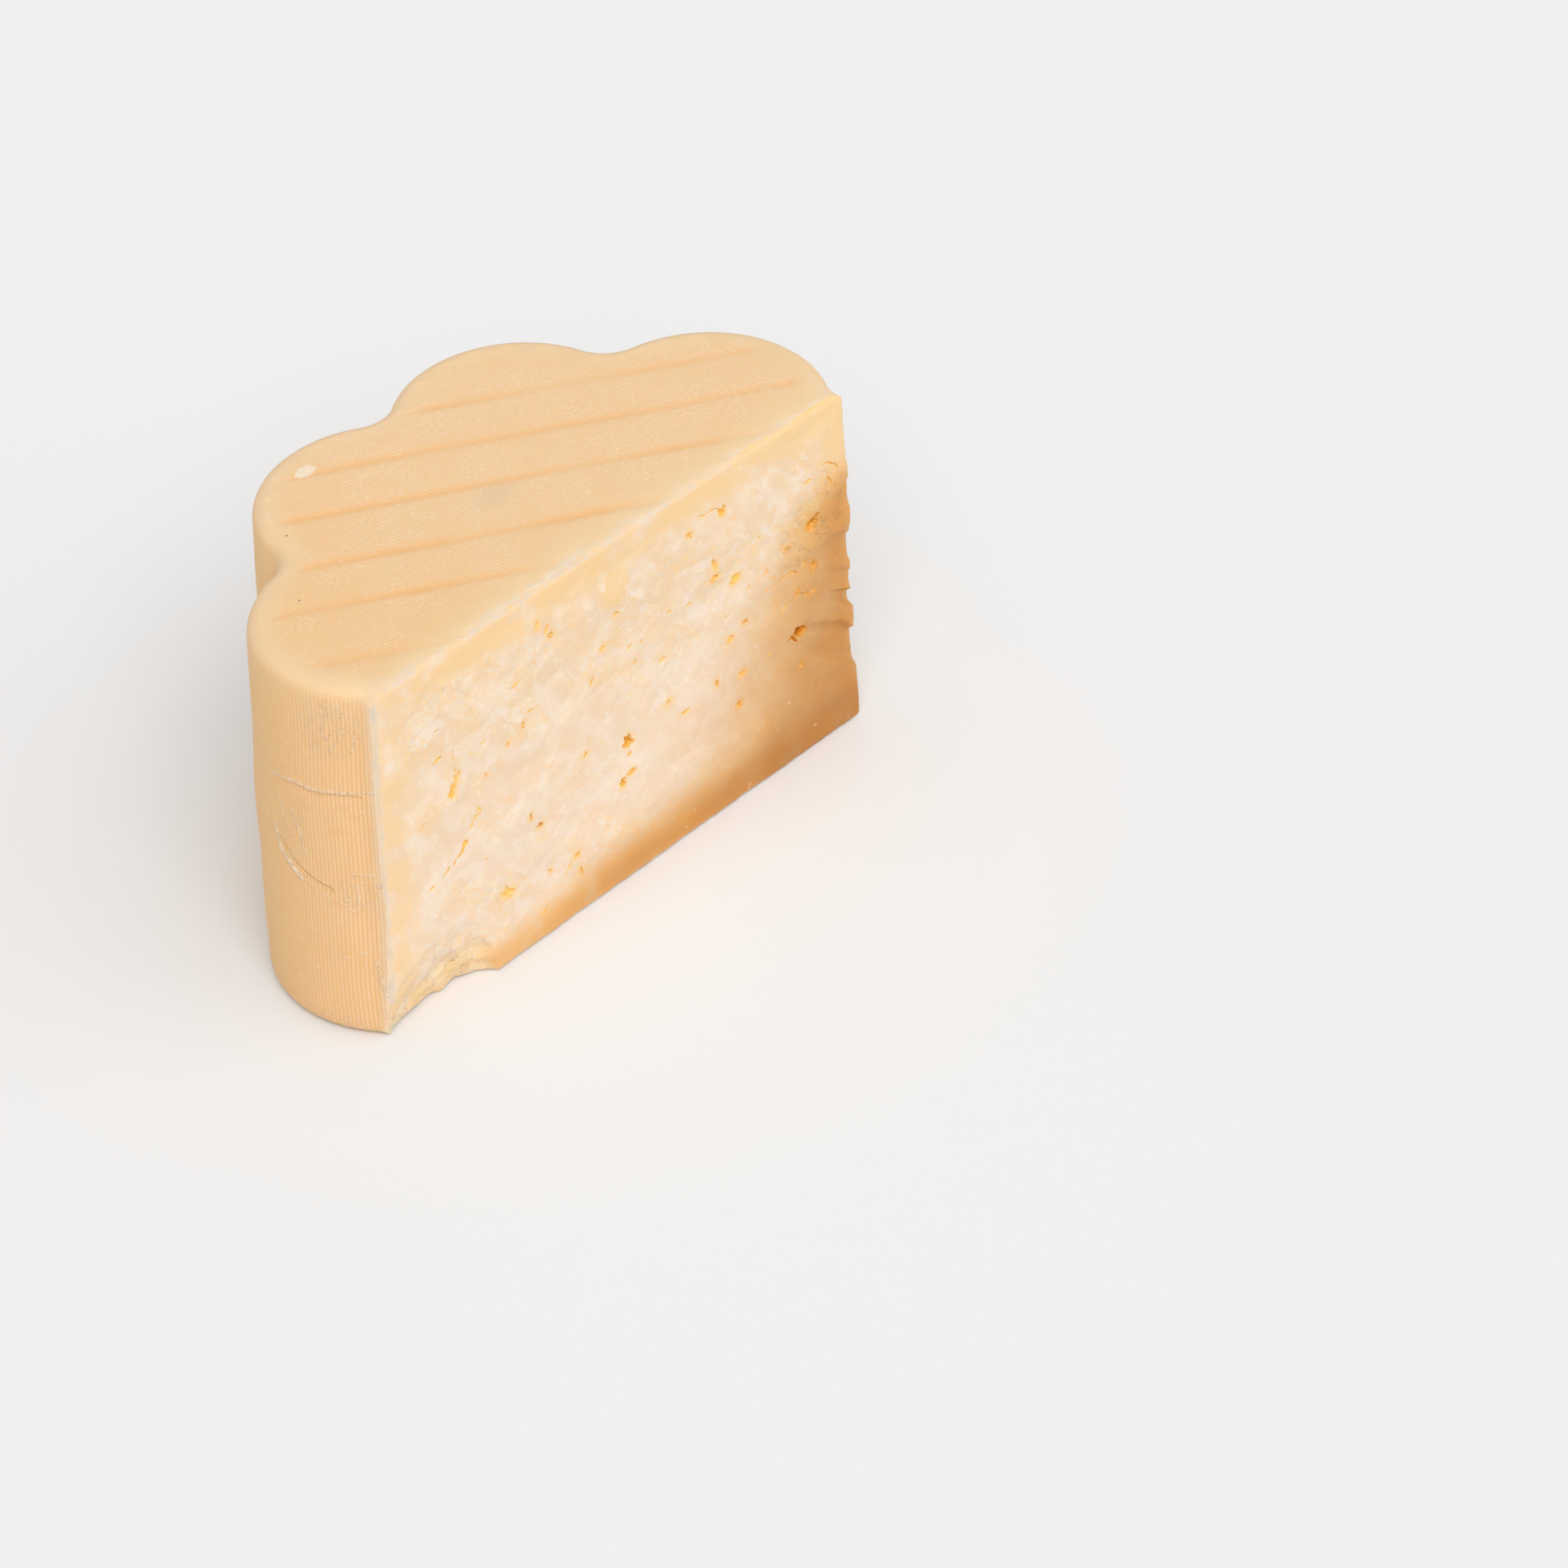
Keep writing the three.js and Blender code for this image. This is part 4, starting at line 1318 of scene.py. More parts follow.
def make_stroke() -> bpy.types.NodeTree:
    """A line between two places, such as a crack or a scratch in the rind.

    Returns:
        A group with the inputs Place, From, To and Width and the output Mask.
    """
    inputs = {"Place": ("Vector", None), "From": ("Vector", None), "To": ("Vector", None), "Width": ("Float", 0.001)}
    sheet, given, out = new_group("stroke", inputs, {"Mask": "Float"})
    run = sheet.vectors("SUBTRACT", given.outputs["To"], given.outputs["From"])
    away = sheet.vectors("SUBTRACT", given.outputs["Place"], given.outputs["From"])
    share = sheet.maths("DIVIDE", sheet.vectors("DOT_PRODUCT", away, run), sheet.vectors("DOT_PRODUCT", run, run))
    share = sheet.maths("MINIMUM", sheet.maths("MAXIMUM", share, 0.0), 1.0)
    shares = sheet.add("ShaderNodeCombineXYZ", {0: share, 1: share, 2: share}).outputs[0]
    gap = sheet.vectors("LENGTH", sheet.vectors("SUBTRACT", away, sheet.vectors("MULTIPLY", run, shares)))
    width = given.outputs["Width"]
    mask = sheet.band(gap, sheet.maths("MULTIPLY", width, 0.7), sheet.maths("MULTIPLY", width, 0.25))
    sheet.tree.links.new(mask, out.inputs["Mask"])
    return sheet.tree


@dataclass(frozen=True)
class Mark:
    """A mark on the side: points as (distance from the cut, height) in millimetres, width and strength."""

    points: tuple[tuple[float, float], ...]
    width: float
    strength: float = 1.0


@dataclass(frozen=True)
class WaxyGlow:
    """How light sinks into the cheese and how its surface shines."""

    sinks: float = 0.5
    radius: Colour = (1.0, 0.50, 0.22)
    reach: float = 1.6 * MM
    roughness: float = 0.52
    shine: float = 0.36

    def finish(self, sheet: NodeSheet, colour: bpy.types.NodeSocket, normal: bpy.types.NodeSocket, rough: bpy.types.NodeSocket) -> None:
        """Ends a material in its shader.

        Args:
            sheet: The material's nodes.
            colour: The surface's colour.
            normal: The surface's normal.
            rough: The surface's roughness.
        """
        shader = sheet.add("ShaderNodeBsdfPrincipled", {"Base Color": colour, "Normal": normal, "Roughness": rough})
        shader.inputs["Subsurface Weight"].default_value = self.sinks
        shader.inputs["Subsurface Radius"].default_value = self.radius
        shader.inputs["Subsurface Scale"].default_value = self.reach
        shader.inputs["Specular IOR Level"].default_value = self.shine
        end = sheet.add("ShaderNodeOutputMaterial")
        sheet.tree.links.new(shader.outputs[0], end.inputs[0])


def new_material(name: str) -> tuple[bpy.types.Material, NodeSheet]:
    """Starts an empty material.

    Args:
        name: The material's name.

    Returns:
        The material and its nodes.
    """
    material = bpy.data.materials.new(name)
    material.use_nodes = True
    material.node_tree.nodes.clear()
    return material, NodeSheet(material.node_tree)


@dataclass(frozen=True)
class Spot:
    """A single mark in millimetres: its place on the top or on the cut, and its half sizes."""

    x: float
    y: float
    long: float
    wide: float
    soft: float = 0.08


def ragged_spot(sheet: NodeSheet, centre: Colour, closeness: Colour, soft: float) -> bpy.types.NodeSocket:
    """A ragged spot.

    Args:
        sheet: The material's nodes.
        centre: Its middle on the object.
        closeness: One over its half size along each axis, and 0 where it runs on.
        soft: How soft its edge is.

    Returns:
        1 inside it, 0 outside.
    """
    away = sheet.vectors("MULTIPLY", sheet.vectors("SUBTRACT", sheet.place(), centre), closeness)
    ragged = sheet.maths("MULTIPLY", sheet.noise(sheet.place(), 1.1 * MM, 4.0, 0.6), 1.2)
    return sheet.band(sheet.maths("ADD", sheet.vectors("LENGTH", away), ragged), 1.6 + soft, 1.6 - soft)


@dataclass(frozen=True)
class PasteFinish:
    """The cut paste: cream in its middle, deeper towards the rind, with paler torn flakes, and painted shade towards
    its foot, its right end, in its crevices and in its hollows.
    """

    cream: Colour = (0.80, 0.60, 0.405)
    pale: Colour = (0.81, 0.635, 0.48)
    warm: Colour = (0.825, 0.615, 0.41)
    torn: Colour = (0.86, 0.75, 0.63)
    band: Colour = (0.86, 0.59, 0.30)
    yolk: Colour = (0.88, 0.59, 0.27)
    # Edge: the whitish line along the cut's rim, dimmed as painted shade against the extra light that the rounded edge
    # catches.
    edge: Colour = (0.70, 0.595, 0.475)
    # Crags: the rough paste's own yellow-white, made lighter as painted light to lift the shade on the downward-facing
    # chip.
    crag: Colour = (0.92, 0.77, 0.53)
    # Inside the hollows: the eyes' own orange, brightened at the shallow end as painted light bounced inside and
    # darkened with depth as painted shade.
    hollow: tuple[tuple[float, Colour], ...] = (
        (0.0, (0.88, 0.60, 0.27)),
        (0.35, (0.93, 0.58, 0.13)),
        (0.65, (0.90, 0.44, 0.03)),
        (1.0, (0.72, 0.29, 0.01)),
    )
    smooth_patch: Spot = Spot(-1.0, 93.0, 5.5, 5.5, 0.2)
    white_flakes: tuple[Spot, ...] = (
        Spot(-4.9, 97.7, 1.2, 4.0, 0.15),
        Spot(-7.9, 18.3, 3.0, 2.4, 0.25),
        Spot(-68.7, 87.7, 5.5, 3.5, 0.4),
        Spot(-74.4, 55.1, 3.0, 5.0, 0.4),
        Spot(-81.0, 90.0, 2.2, 9.0, 0.3),
    )
    crystal: Colour = (0.90, 0.78, 0.62)
    # Painted shade: the colours that multiply the paste by its shade-and-tone value, from white down to brown-orange.
    shade_and_tone: tuple[tuple[float, Colour], ...] = (
        (0.0, (1.0, 1.0, 1.0)),
        (0.25, (0.90, 0.745, 0.54)),
        (0.40, (0.82, 0.595, 0.33)),
        (0.55, (0.70, 0.455, 0.20)),
        (0.80, (0.52, 0.29, 0.095)),
    )
    glow: WaxyGlow = WaxyGlow()

    def build(self, flecks: bpy.types.NodeTree, crumbs: bpy.types.NodeTree) -> bpy.types.Material:
        """Builds the material.

        Args:
            flecks: The group that scatters dots.
            crumbs: The group that makes the crumbs.

        Returns:
            The material.
        """
        material, sheet = new_material("torn_paste")
        place = sheet.place()
        slanted = sheet.place((1.35, 1.0, 0.85), (0.0, math.radians(45), 0.0))
        along, _, level = sheet.add("ShaderNodeSeparateXYZ", {0: place}).outputs
        rough = sheet.values("rough")
        inside = sheet.values("from_rind")
        deep = sheet.values("deep")
        colour = sheet.blend(sheet.band(level, 30 * MM, 80 * MM), self.pale, self.cream)
        warmer = sheet.maths("MULTIPLY", sheet.band(sheet.noise(slanted, 20 * MM, 3.0), 0.40, 0.66), 0.7)
        colour = sheet.blend(warmer, colour, self.warm)
        colour = self._add_curd(sheet, colour, slanted, rough)
        # Partly painted light: rough crags and the chip take the lighter crag colour, which also offsets the chip's
        # shade.
        colour = sheet.blend(sheet.maths("MULTIPLY", sheet.band(rough, 0.7, 1.0), 0.6), colour, self.crag)
        colour = self._add_spots(sheet, colour)
        crumb = sheet.group(crumbs, {"Vector": slanted, "Size": 1.4 * MM, "Depth": 0.30 * MM, "Amount": rough})
        # Painted shade: the crevices between the crumbs are tinted yolk orange, as the warm shade in them.
        colour = sheet.blend(sheet.maths("MULTIPLY", crumb.outputs["Crevice"], 0.45), colour, self.yolk)
        for part, strength in (("Top", 0.5), ("Rim", 0.6)):
            colour = sheet.blend(sheet.maths("MULTIPLY", crumb.outputs[part], strength), colour, self.torn)
        beside = sheet.band(along, -70 * MM, -79 * MM)
        depth = sheet.maths("SUBTRACT", 0.9, sheet.maths("MULTIPLY", beside, 0.2))
        band = sheet.maths("MULTIPLY", sheet.band(inside, 14 * MM, 5 * MM), depth)
        waver = sheet.band(sheet.noise(place, 9 * MM, 4.0), 0.3, 0.55)
        colour = sheet.blend(sheet.maths("MULTIPLY", band, waver), colour, self.band)
        halo = sheet.maths("ADD", sheet.values("halo"), sheet.noise(slanted, 1.6 * MM, 4.0))
        colour = sheet.blend(sheet.maths("MULTIPLY", sheet.band(halo, 0.98, 1.06), 0.5), colour, self.yolk)
        # Painted shade: tiny yolk-orange pin-holes, the shade in pits too small to model.
        pins = sheet.group(flecks, {"Vector": slanted, "Spacing": 2.6 * MM, "Dot": 0.2, "Share": rough})
        colour = sheet.blend(sheet.maths("MULTIPLY", pins.outputs[0], 0.35), colour, self.yolk)
        # Painted shade: darken the paste, and below it the hollows' walls, towards its foot and right end.
        shade_and_tone = sheet.ramp(sheet.values("shade_and_tone"), self.shade_and_tone)
        colour = sheet.blend(1.0, colour, shade_and_tone, "MULTIPLY")
        # Painted shade: the hollows' walls darken the deeper they go.
        inner = sheet.ramp(sheet.maths("DIVIDE", deep, 2.6 * MM), self.hollow)
        inner = sheet.blend(0.35, inner, shade_and_tone, "MULTIPLY")
        colour = sheet.blend(sheet.band(deep, 0.03 * MM, 0.30 * MM), colour, inner)
        foot = sheet.band(level, 18 * MM, 3 * MM)
        share = sheet.maths("ADD", 0.2, sheet.maths("MULTIPLY", foot, 0.4))
        crystals = sheet.group(flecks, {"Vector": place, "Spacing": 3.4 * MM, "Dot": 0.13, "Share": share})
        shown = sheet.maths("ADD", 0.35, sheet.maths("MULTIPLY", foot, 0.3))
        colour = sheet.blend(sheet.maths("MULTIPLY", crystals.outputs[0], shown), colour, self.crystal)
        # The whitish rim line along the cut's edge, dimmed as painted shade against the light that the rounded edge
        # catches.
        chatter = sheet.band(sheet.noise(place, 5 * MM, 5.0, 0.65), 0.42, 0.58)
        chatter = sheet.maths("ADD", 0.3, sheet.maths("MULTIPLY", chatter, 0.55))
        edge = sheet.maths("MULTIPLY", sheet.band(inside, 1.6 * MM, 0.4 * MM), chatter)
        edge = sheet.maths("MULTIPLY", edge, sheet.band(along, 70 * MM, 30 * MM))
        colour = sheet.blend(edge, colour, self.edge)
        fine = sheet.noise(slanted, 1.2 * MM, 3.0)
        shine = sheet.maths("ADD", self.glow.roughness - 0.08, sheet.maths("MULTIPLY", fine, 0.16))
        self.glow.finish(sheet, colour, crumb.outputs["Normal"], shine)
        return material

    def _add_curd(self, sheet: NodeSheet, colour: bpy.types.NodeSocket, place: bpy.types.NodeSocket,
                  rough: bpy.types.NodeSocket) -> bpy.types.NodeSocket:
        """Adds the pale curds and torn flakes.

        Args:
            sheet: The material's nodes.
            colour: The colour below them.
            place: Places on the object, stretched as the curds are.
            rough: How rough the paste broke.

        Returns:
            The colour with them.
        """
        clouds = sheet.band(sheet.noise(place, 9 * MM, 8.0, 0.60), 0.44, 0.66)
        colour = sheet.blend(sheet.maths("MULTIPLY", clouds, 0.42), colour, self.torn)
        scales = sheet.maths("ADD", sheet.noise(place, 5 * MM, 7.0, 0.68), sheet.maths("MULTIPLY", rough, 0.08))
        colour = sheet.blend(sheet.maths("MULTIPLY", sheet.band(scales, 0.60, 0.64), 0.5), colour, self.torn)
        creases = sheet.maths("ADD", sheet.noise(place, 3.6 * MM, 5.0, 0.62), sheet.maths("MULTIPLY", rough, 0.08))
        colour = sheet.blend(sheet.maths("MULTIPLY", sheet.band(creases, 0.64, 0.70), 0.24), colour, self.yolk)
        return sheet.blend(sheet.maths("MULTIPLY", sheet.values("flake"), 0.35), colour, self.torn)

    def _add_spots(self, sheet: NodeSheet, colour: bpy.types.NodeSocket) -> bpy.types.NodeSocket:
        """Adds the smooth yellow patch below the top edge, and the single white flakes.

        Args:
            sheet: The material's nodes.
            colour: The colour below them.

        Returns:
            The colour with them.
        """
        marks = [(self.smooth_patch, 0.8, self.band)] + [(flake, 0.6, self.torn) for flake in self.white_flakes]
        for spot, strength, tint in marks:
            centre = (spot.x * MM, 0.0, spot.y * MM)
            shown = ragged_spot(sheet, centre, (1000 / spot.long, 0.0, 1000 / spot.wide), spot.soft)
            colour = sheet.blend(sheet.maths("MULTIPLY", shown, strength), colour, tint)
        return colour


@dataclass(frozen=True)
class RindFinish:
    """The rind: tan between pale ribs and lines, with a cream border and a faint white bloom, and painted warm bounce
    on the side away from the cut.

    Attributes:
        cut_place: Where the cut lies in the part's frame, which the single marks are placed from.
        line_turn: The turn that lays the fine lines along X.
    """

    cut_place: float
    line_turn: float
    crest: Colour = (0.855, 0.585, 0.345)
    gap: Colour = (0.80, 0.47, 0.205)
    top: Colour = (0.80, 0.53, 0.285)
    sunny: Colour = (0.795, 0.505, 0.24)
    border: Colour = (0.82, 0.585, 0.345)
    groove: Colour = (0.82, 0.47, 0.19)
    bloom: Colour = (0.92, 0.79, 0.64)
    edge: Colour = (0.845, 0.635, 0.385)
    # Flank: a deeper orange over the side away from the cut's corner, painting warm light bounced into its shade.
    flank: Colour = (0.81, 0.495, 0.22)
    stain: Colour = (0.62, 0.50, 0.33)
    dirt: Colour = (0.20, 0.09, 0.03)
    scrape: Colour = (0.78, 0.66, 0.515)
    crust: Colour = (0.84, 0.69, 0.51)
    raised: tuple[Mark, ...] = (
        Mark(((34.3, 73.6), (28.5, 75.0), (22.7, 76.3), (16.9, 75.9), (11.2, 76.9), (5.6, 77.5), (0.0, 79.0)), 0.9, 0.5),
        Mark(((32.3, 57.6), (30.4, 51.5)), 1.5, 0.7),
        Mark(((30.4, 51.5), (27.0, 48.6), (23.6, 46.3)), 1.9, 0.85),
        Mark(((23.6, 46.3), (18.2, 44.1), (12.5, 42.1), (8.9, 39.9)), 0.8, 0.35),
        Mark(((9.2, 48.3), (7.3, 45.9), (8.1, 41.9)), 0.8, 0.3),
        Mark(((8.8, 52.0), (6.0, 51.7), (2.7, 52.5)), 0.7, 0.3),
        Mark(((15.0, 24.1), (10.7, 25.3), (6.4, 27.7), (3.8, 29.7)), 0.8, 0.25),
        Mark(((4.0, 25.0), (3.1, 19.3), (2.0, 15.0)), 1.2, 0.5),
        Mark(((30.5, 70.0), (28.0, 63.5)), 1.0, 0.3),
        Mark(((24.5, 66.0), (21.4, 54.4)), 1.0, 0.3),
        Mark(((2.2, 49.0), (0.4, 50.5)), 1.0, 0.8),
    )
    # Sunk marks: painted shade along the lower side of the upper crack and in the scar's groove; the bump also presses
    # them in.
    sunk: tuple[Mark, ...] = (
        Mark(((30.0, 55.0), (25.0, 50.0), (21.6, 47.9), (17.9, 46.7), (14.7, 45.7)), 1.1),
        Mark(((28.5, 73.4), (22.7, 74.8), (16.9, 74.5), (11.2, 75.5), (5.6, 76.0)), 1.3, 0.5),
    )
    glow: WaxyGlow = WaxyGlow(sinks=0.4, roughness=0.56, shine=0.34)

    def build(self, flecks: bpy.types.NodeTree, grain: bpy.types.NodeTree,
              stroke: bpy.types.NodeTree) -> bpy.types.Material:
        """Builds the material.

        Args:
            flecks: The group that scatters dots.
            grain: The group that makes the fine grain.
            stroke: The group that draws a mark.

        Returns:
            The material.
        """
        material, sheet = new_material("pressed_rind")
        place = sheet.place()
        uneven = sheet.noise(place, 4 * MM, 4.0)
        clouds = sheet.band(sheet.noise(place, 22 * MM, 3.0), 0.35, 0.65)
        side = self._side(sheet, uneven, clouds)
        top = self._top(sheet, clouds)
        on_top = sheet.values("on_top")
        colour = sheet.blend(on_top, side, top)
        dusty = sheet.group(flecks, {"Vector": place, "Spacing": 2.3 * MM, "Dot": 0.22, "Share": uneven})
        colour = sheet.blend(sheet.maths("MULTIPLY", dusty.outputs[0], 0.25), colour, self.bloom)
        from_cut = sheet.values("from_cut")
        beside = sheet.maths("SUBTRACT", 1.0, on_top)
        crust = sheet.maths("MULTIPLY", sheet.band(from_cut, 2.8 * MM, 0.6 * MM), beside)
        colour = sheet.blend(sheet.maths("MULTIPLY", crust, 0.4), colour, self.crust)
        waver = sheet.maths("MULTIPLY", sheet.noise(place, 2 * MM, 4.0), 1.6 * MM)
        lip = sheet.band(sheet.maths("ADD", from_cut, waver), 1.4 * MM, 1.0 * MM)
        colour = sheet.blend(sheet.maths("MULTIPLY", sheet.maths("MULTIPLY", lip, beside), 0.45), colour, self.bloom)
        unrolled = self._unrolled(sheet)
        broken = sheet.band(sheet.noise(place, 1.6 * MM, 4.0, 0.6), 0.36, 0.52)
        raised = sheet.maths("MULTIPLY", self._marks(sheet, stroke, unrolled, self.raised), broken)
        # Painted shade: the sunk marks darken the side below the crack and inside the scar.
        sunk = self._marks(sheet, stroke, unrolled, self.sunk)
        colour = sheet.blend(sheet.maths("MULTIPLY", sunk, 0.4), colour, self.gap)
        colour = sheet.blend(sheet.maths("MULTIPLY", raised, 0.7), colour, self.bloom)
        speckle = sheet.band(sheet.noise(place, 1.1 * MM, 5.0, 0.65), 0.56, 0.62)
        dusted = sheet.maths("MULTIPLY", self._dusted(sheet, unrolled), speckle)
        colour = sheet.blend(sheet.maths("MULTIPLY", dusted, 0.55), colour, self.bloom)
        fine = sheet.group(grain, {"Vector": place, "Size": 1.6 * MM, "Depth": 0.2 * MM, "Amount": 0.3})
        relief = sheet.maths("SUBTRACT", sheet.maths("ADD", raised, sheet.maths("MULTIPLY", dusted, 0.4)), sunk)
        bump = {"Height": relief, "Distance": 0.5 * MM, "Strength": 0.8, "Normal": fine.outputs["Normal"]}
        normal = sheet.add("ShaderNodeBump", bump).outputs[0]
        shine = sheet.maths("ADD", self.glow.roughness - 0.08, sheet.maths("MULTIPLY", fine.outputs["Height"], 0.16))
        self.glow.finish(sheet, colour, normal, shine)
        return material

    def _unrolled(self, sheet: NodeSheet) -> bpy.types.NodeSocket:
        """Places on the side as it would lie unrolled from the cut's left end, a little shaken."""
        height = sheet.add("ShaderNodeSeparateXYZ", {0: sheet.place()}).outputs[2]
        flat = sheet.add("ShaderNodeCombineXYZ", {0: sheet.values("from_corner"), 1: height}).outputs[0]
        wobble = sheet.add("ShaderNodeTexNoise", {"Vector": sheet.place(), "Scale": 1 / (1.5 * MM), "Detail": 4.0})
        shake = sheet.vectors("SUBTRACT", wobble.outputs["Color"], (0.5, 0.5, 0.5))
        shaken = sheet.vectors("ADD", flat, sheet.vectors("MULTIPLY", shake, (1.6 * MM, 1.6 * MM, 0.0)))
        return sheet.vectors("MULTIPLY", shaken, (1.0, 1.0, 0.0))

    def _marks(self, sheet: NodeSheet, stroke: bpy.types.NodeTree, unrolled: bpy.types.NodeSocket,
               marks: tuple[Mark, ...]) -> bpy.types.NodeSocket:
        """Draws marks on the side.

        Args:
            sheet: The material's nodes.
            stroke: The group that draws a straight mark.
            unrolled: Places on the unrolled side.
            marks: The marks.

        Returns:
            How strong the marks are.
        """
        amount = 0.0
        for mark in marks:
            for start, end in zip(mark.points, mark.points[1:]):
                values = {"Place": unrolled, "From": (start[0] * MM, start[1] * MM, 0.0),
                          "To": (end[0] * MM, end[1] * MM, 0.0), "Width": mark.width * MM}
                mask = sheet.group(stroke, values).outputs[0]
                amount = sheet.maths("MAXIMUM", amount, sheet.maths("MULTIPLY", mask, mark.strength))
        return amount

    def _dusted(self, sheet: NodeSheet, unrolled: bpy.types.NodeSocket) -> bpy.types.NodeSocket:
        """Where the side has a dusty bloom: near its top edge, above the scar and along its foot."""
        amount = 0.0
        for middle, half in (((12.0, 95.0), (9.0, 9.0)), ((25.5, 61.0), (5.0, 10.0)), ((25.0, 3.0), (26.0, 3.0)),
                             ((8.0, 46.0), (5.0, 7.0))):
            away = sheet.vectors("SUBTRACT", unrolled, (middle[0] * MM, middle[1] * MM, 0.0))
            away = sheet.vectors("LENGTH", sheet.vectors("MULTIPLY", away, (1000 / half[0], 1000 / half[1], 0.0)))
            amount = sheet.maths("MAXIMUM", amount, sheet.band(away, 1.2, 0.6))
        return amount

    def _side(self, sheet: NodeSheet, uneven: bpy.types.NodeSocket, clouds: bpy.types.NodeSocket) -> bpy.types.NodeSocket:
        """The colour of the ribbed side.

        Args:
            sheet: The material's nodes.
            uneven: Fine noise.
            clouds: Coarse noise.

        Returns:
            The colour.
        """
        rib = sheet.band(sheet.values("rib"), 0.15, 0.9)
        rib = sheet.maths("MULTIPLY", rib, sheet.band(uneven, 0.15, 0.5))
        colour = sheet.blend(rib, self.gap, self.crest)
        # Painted light: away from the cut's corner the side is tinted deeper orange as warm bounce in its shade, with
        # random clouds of the same tone besides.
        from_corner = sheet.values("from_corner")
        calm = sheet.maths("MULTIPLY", sheet.band(from_corner, 8 * MM, 34 * MM), 0.8)
        colour = sheet.blend(sheet.maths("MAXIMUM", sheet.maths("MULTIPLY", clouds, 0.3), calm), colour, self.flank)
        level = sheet.add("ShaderNodeSeparateXYZ", {0: sheet.place()}).outputs[2]
        high = sheet.band(level, 92 * MM, 106 * MM)
        return sheet.blend(sheet.maths("MULTIPLY", high, 0.25), colour, self.border)

    def _top(self, sheet: NodeSheet, clouds: bpy.types.NodeSocket) -> bpy.types.NodeSocket:
        """The colour of the lined top.

        Args:
            sheet: The material's nodes.
            clouds: Coarse noise.

        Returns:
            The colour.
        """
        lined = sheet.values("lined")
        from_cut = sheet.values("from_cut")
        streaked = sheet.place((0.5, 1.0, 1.0), (0.0, 0.0, self.line_turn))
        streaks = sheet.noise(streaked, 0.62 * MM, 3.0, 0.7)
        patches = sheet.band(sheet.noise(sheet.place(), 13 * MM, 3.0), 0.35, 0.65)
        near = sheet.maths("MULTIPLY", sheet.band(from_cut, 4 * MM, 11 * MM), lined)
        line = sheet.maths("MULTIPLY", sheet.maths("SUBTRACT", 1.0, sheet.values("line")), near)
        crest = sheet.maths("MULTIPLY", sheet.values("line"), near)
        across = sheet.add("ShaderNodeSeparateXYZ", {0: sheet.place()}).outputs[0]
        colour = sheet.blend(sheet.band(across, -5 * MM, -70 * MM), self.top, self.sunny)
        colour = sheet.blend(sheet.maths("MULTIPLY", line, 0.50), colour, self.groove)
        colour = sheet.blend(sheet.maths("MULTIPLY", crest, 0.24), colour, self.bloom)
        colour = sheet.blend(sheet.maths("MULTIPLY", clouds, 0.25), colour, self.border)
        grooved = sheet.values("groove")
        colour = sheet.blend(sheet.maths("MULTIPLY", grooved, 0.95), colour, self.groove)
        colour = sheet.blend(sheet.band(sheet.values("rim"), 10 * MM, 3 * MM), colour, self.border)
        dashes = sheet.maths("MULTIPLY", sheet.band(streaks, 0.50, 0.60), sheet.maths("ADD", patches, 0.35))
        dashes = sheet.maths("MULTIPLY", dashes, sheet.maths("ADD", crest, sheet.maths("MULTIPLY", near, 0.3)))
        dashes = sheet.maths("MULTIPLY", dashes, sheet.maths("SUBTRACT", 1.0, grooved))
        colour = sheet.blend(sheet.maths("MULTIPLY", dashes, 0.24), colour, self.bloom)
        waver = sheet.maths("MULTIPLY", sheet.noise(sheet.place(), 12 * MM, 3.0), 6 * MM)
        reach = sheet.maths("ADD", from_cut, waver)
        colour = sheet.blend(sheet.maths("MULTIPLY", sheet.band(reach, 15 * MM, 4 * MM), 0.8), colour, self.edge)
        off = sheet.maths("ABSOLUTE", sheet.maths("ADD", across, 24 * MM))
        whiter = sheet.maths("ADD", 0.45, sheet.maths("MULTIPLY", sheet.band(off, 22 * MM, 8 * MM), 0.4))
        pale = sheet.maths("MULTIPLY", sheet.band(reach, 6.2 * MM, 3.8 * MM), whiter)
        grains = sheet.band(sheet.noise(sheet.place(), 4 * MM, 6.0, 0.68), 0.42, 0.56)
        grains = sheet.maths("ADD", 0.4, sheet.maths("MULTIPLY", grains, 0.75))
        colour = sheet.blend(sheet.maths("MULTIPLY", pale, grains), colour, self.scrape)
        for spot, tint in ((Spot(-29.0, 80.0, 3.0, 1.9, 0.12), self.crust), (Spot(-50.8, 64.0, 0.40, 0.26), self.dirt),
                           (Spot(-67.2, 42.3, 0.30, 0.22), self.dirt)):
            colour = sheet.blend(self._spot(sheet, spot), colour, tint)
        stained = sheet.maths("MULTIPLY", self._spot(sheet, Spot(-6.5, 35.9, 6.0, 4.0, 0.7)), 0.3)
        return sheet.blend(stained, colour, self.stain)

    def _spot(self, sheet: NodeSheet, spot: Spot) -> bpy.types.NodeSocket:
        """A ragged spot on the top, placed from the wheel's middle."""
        centre = (spot.x * MM, spot.y * MM + self.cut_place, 0.0)
        return ragged_spot(sheet, centre, (1000 / spot.long, 1000 / spot.wide, 0.0), spot.soft)


@dataclass(frozen=True)
class SoftLight:
    """A wide soft light: where it comes from, its strength and how wide it is."""

    name: str
    comes_from: tuple[float, float, float]
    strength: float
    width: float


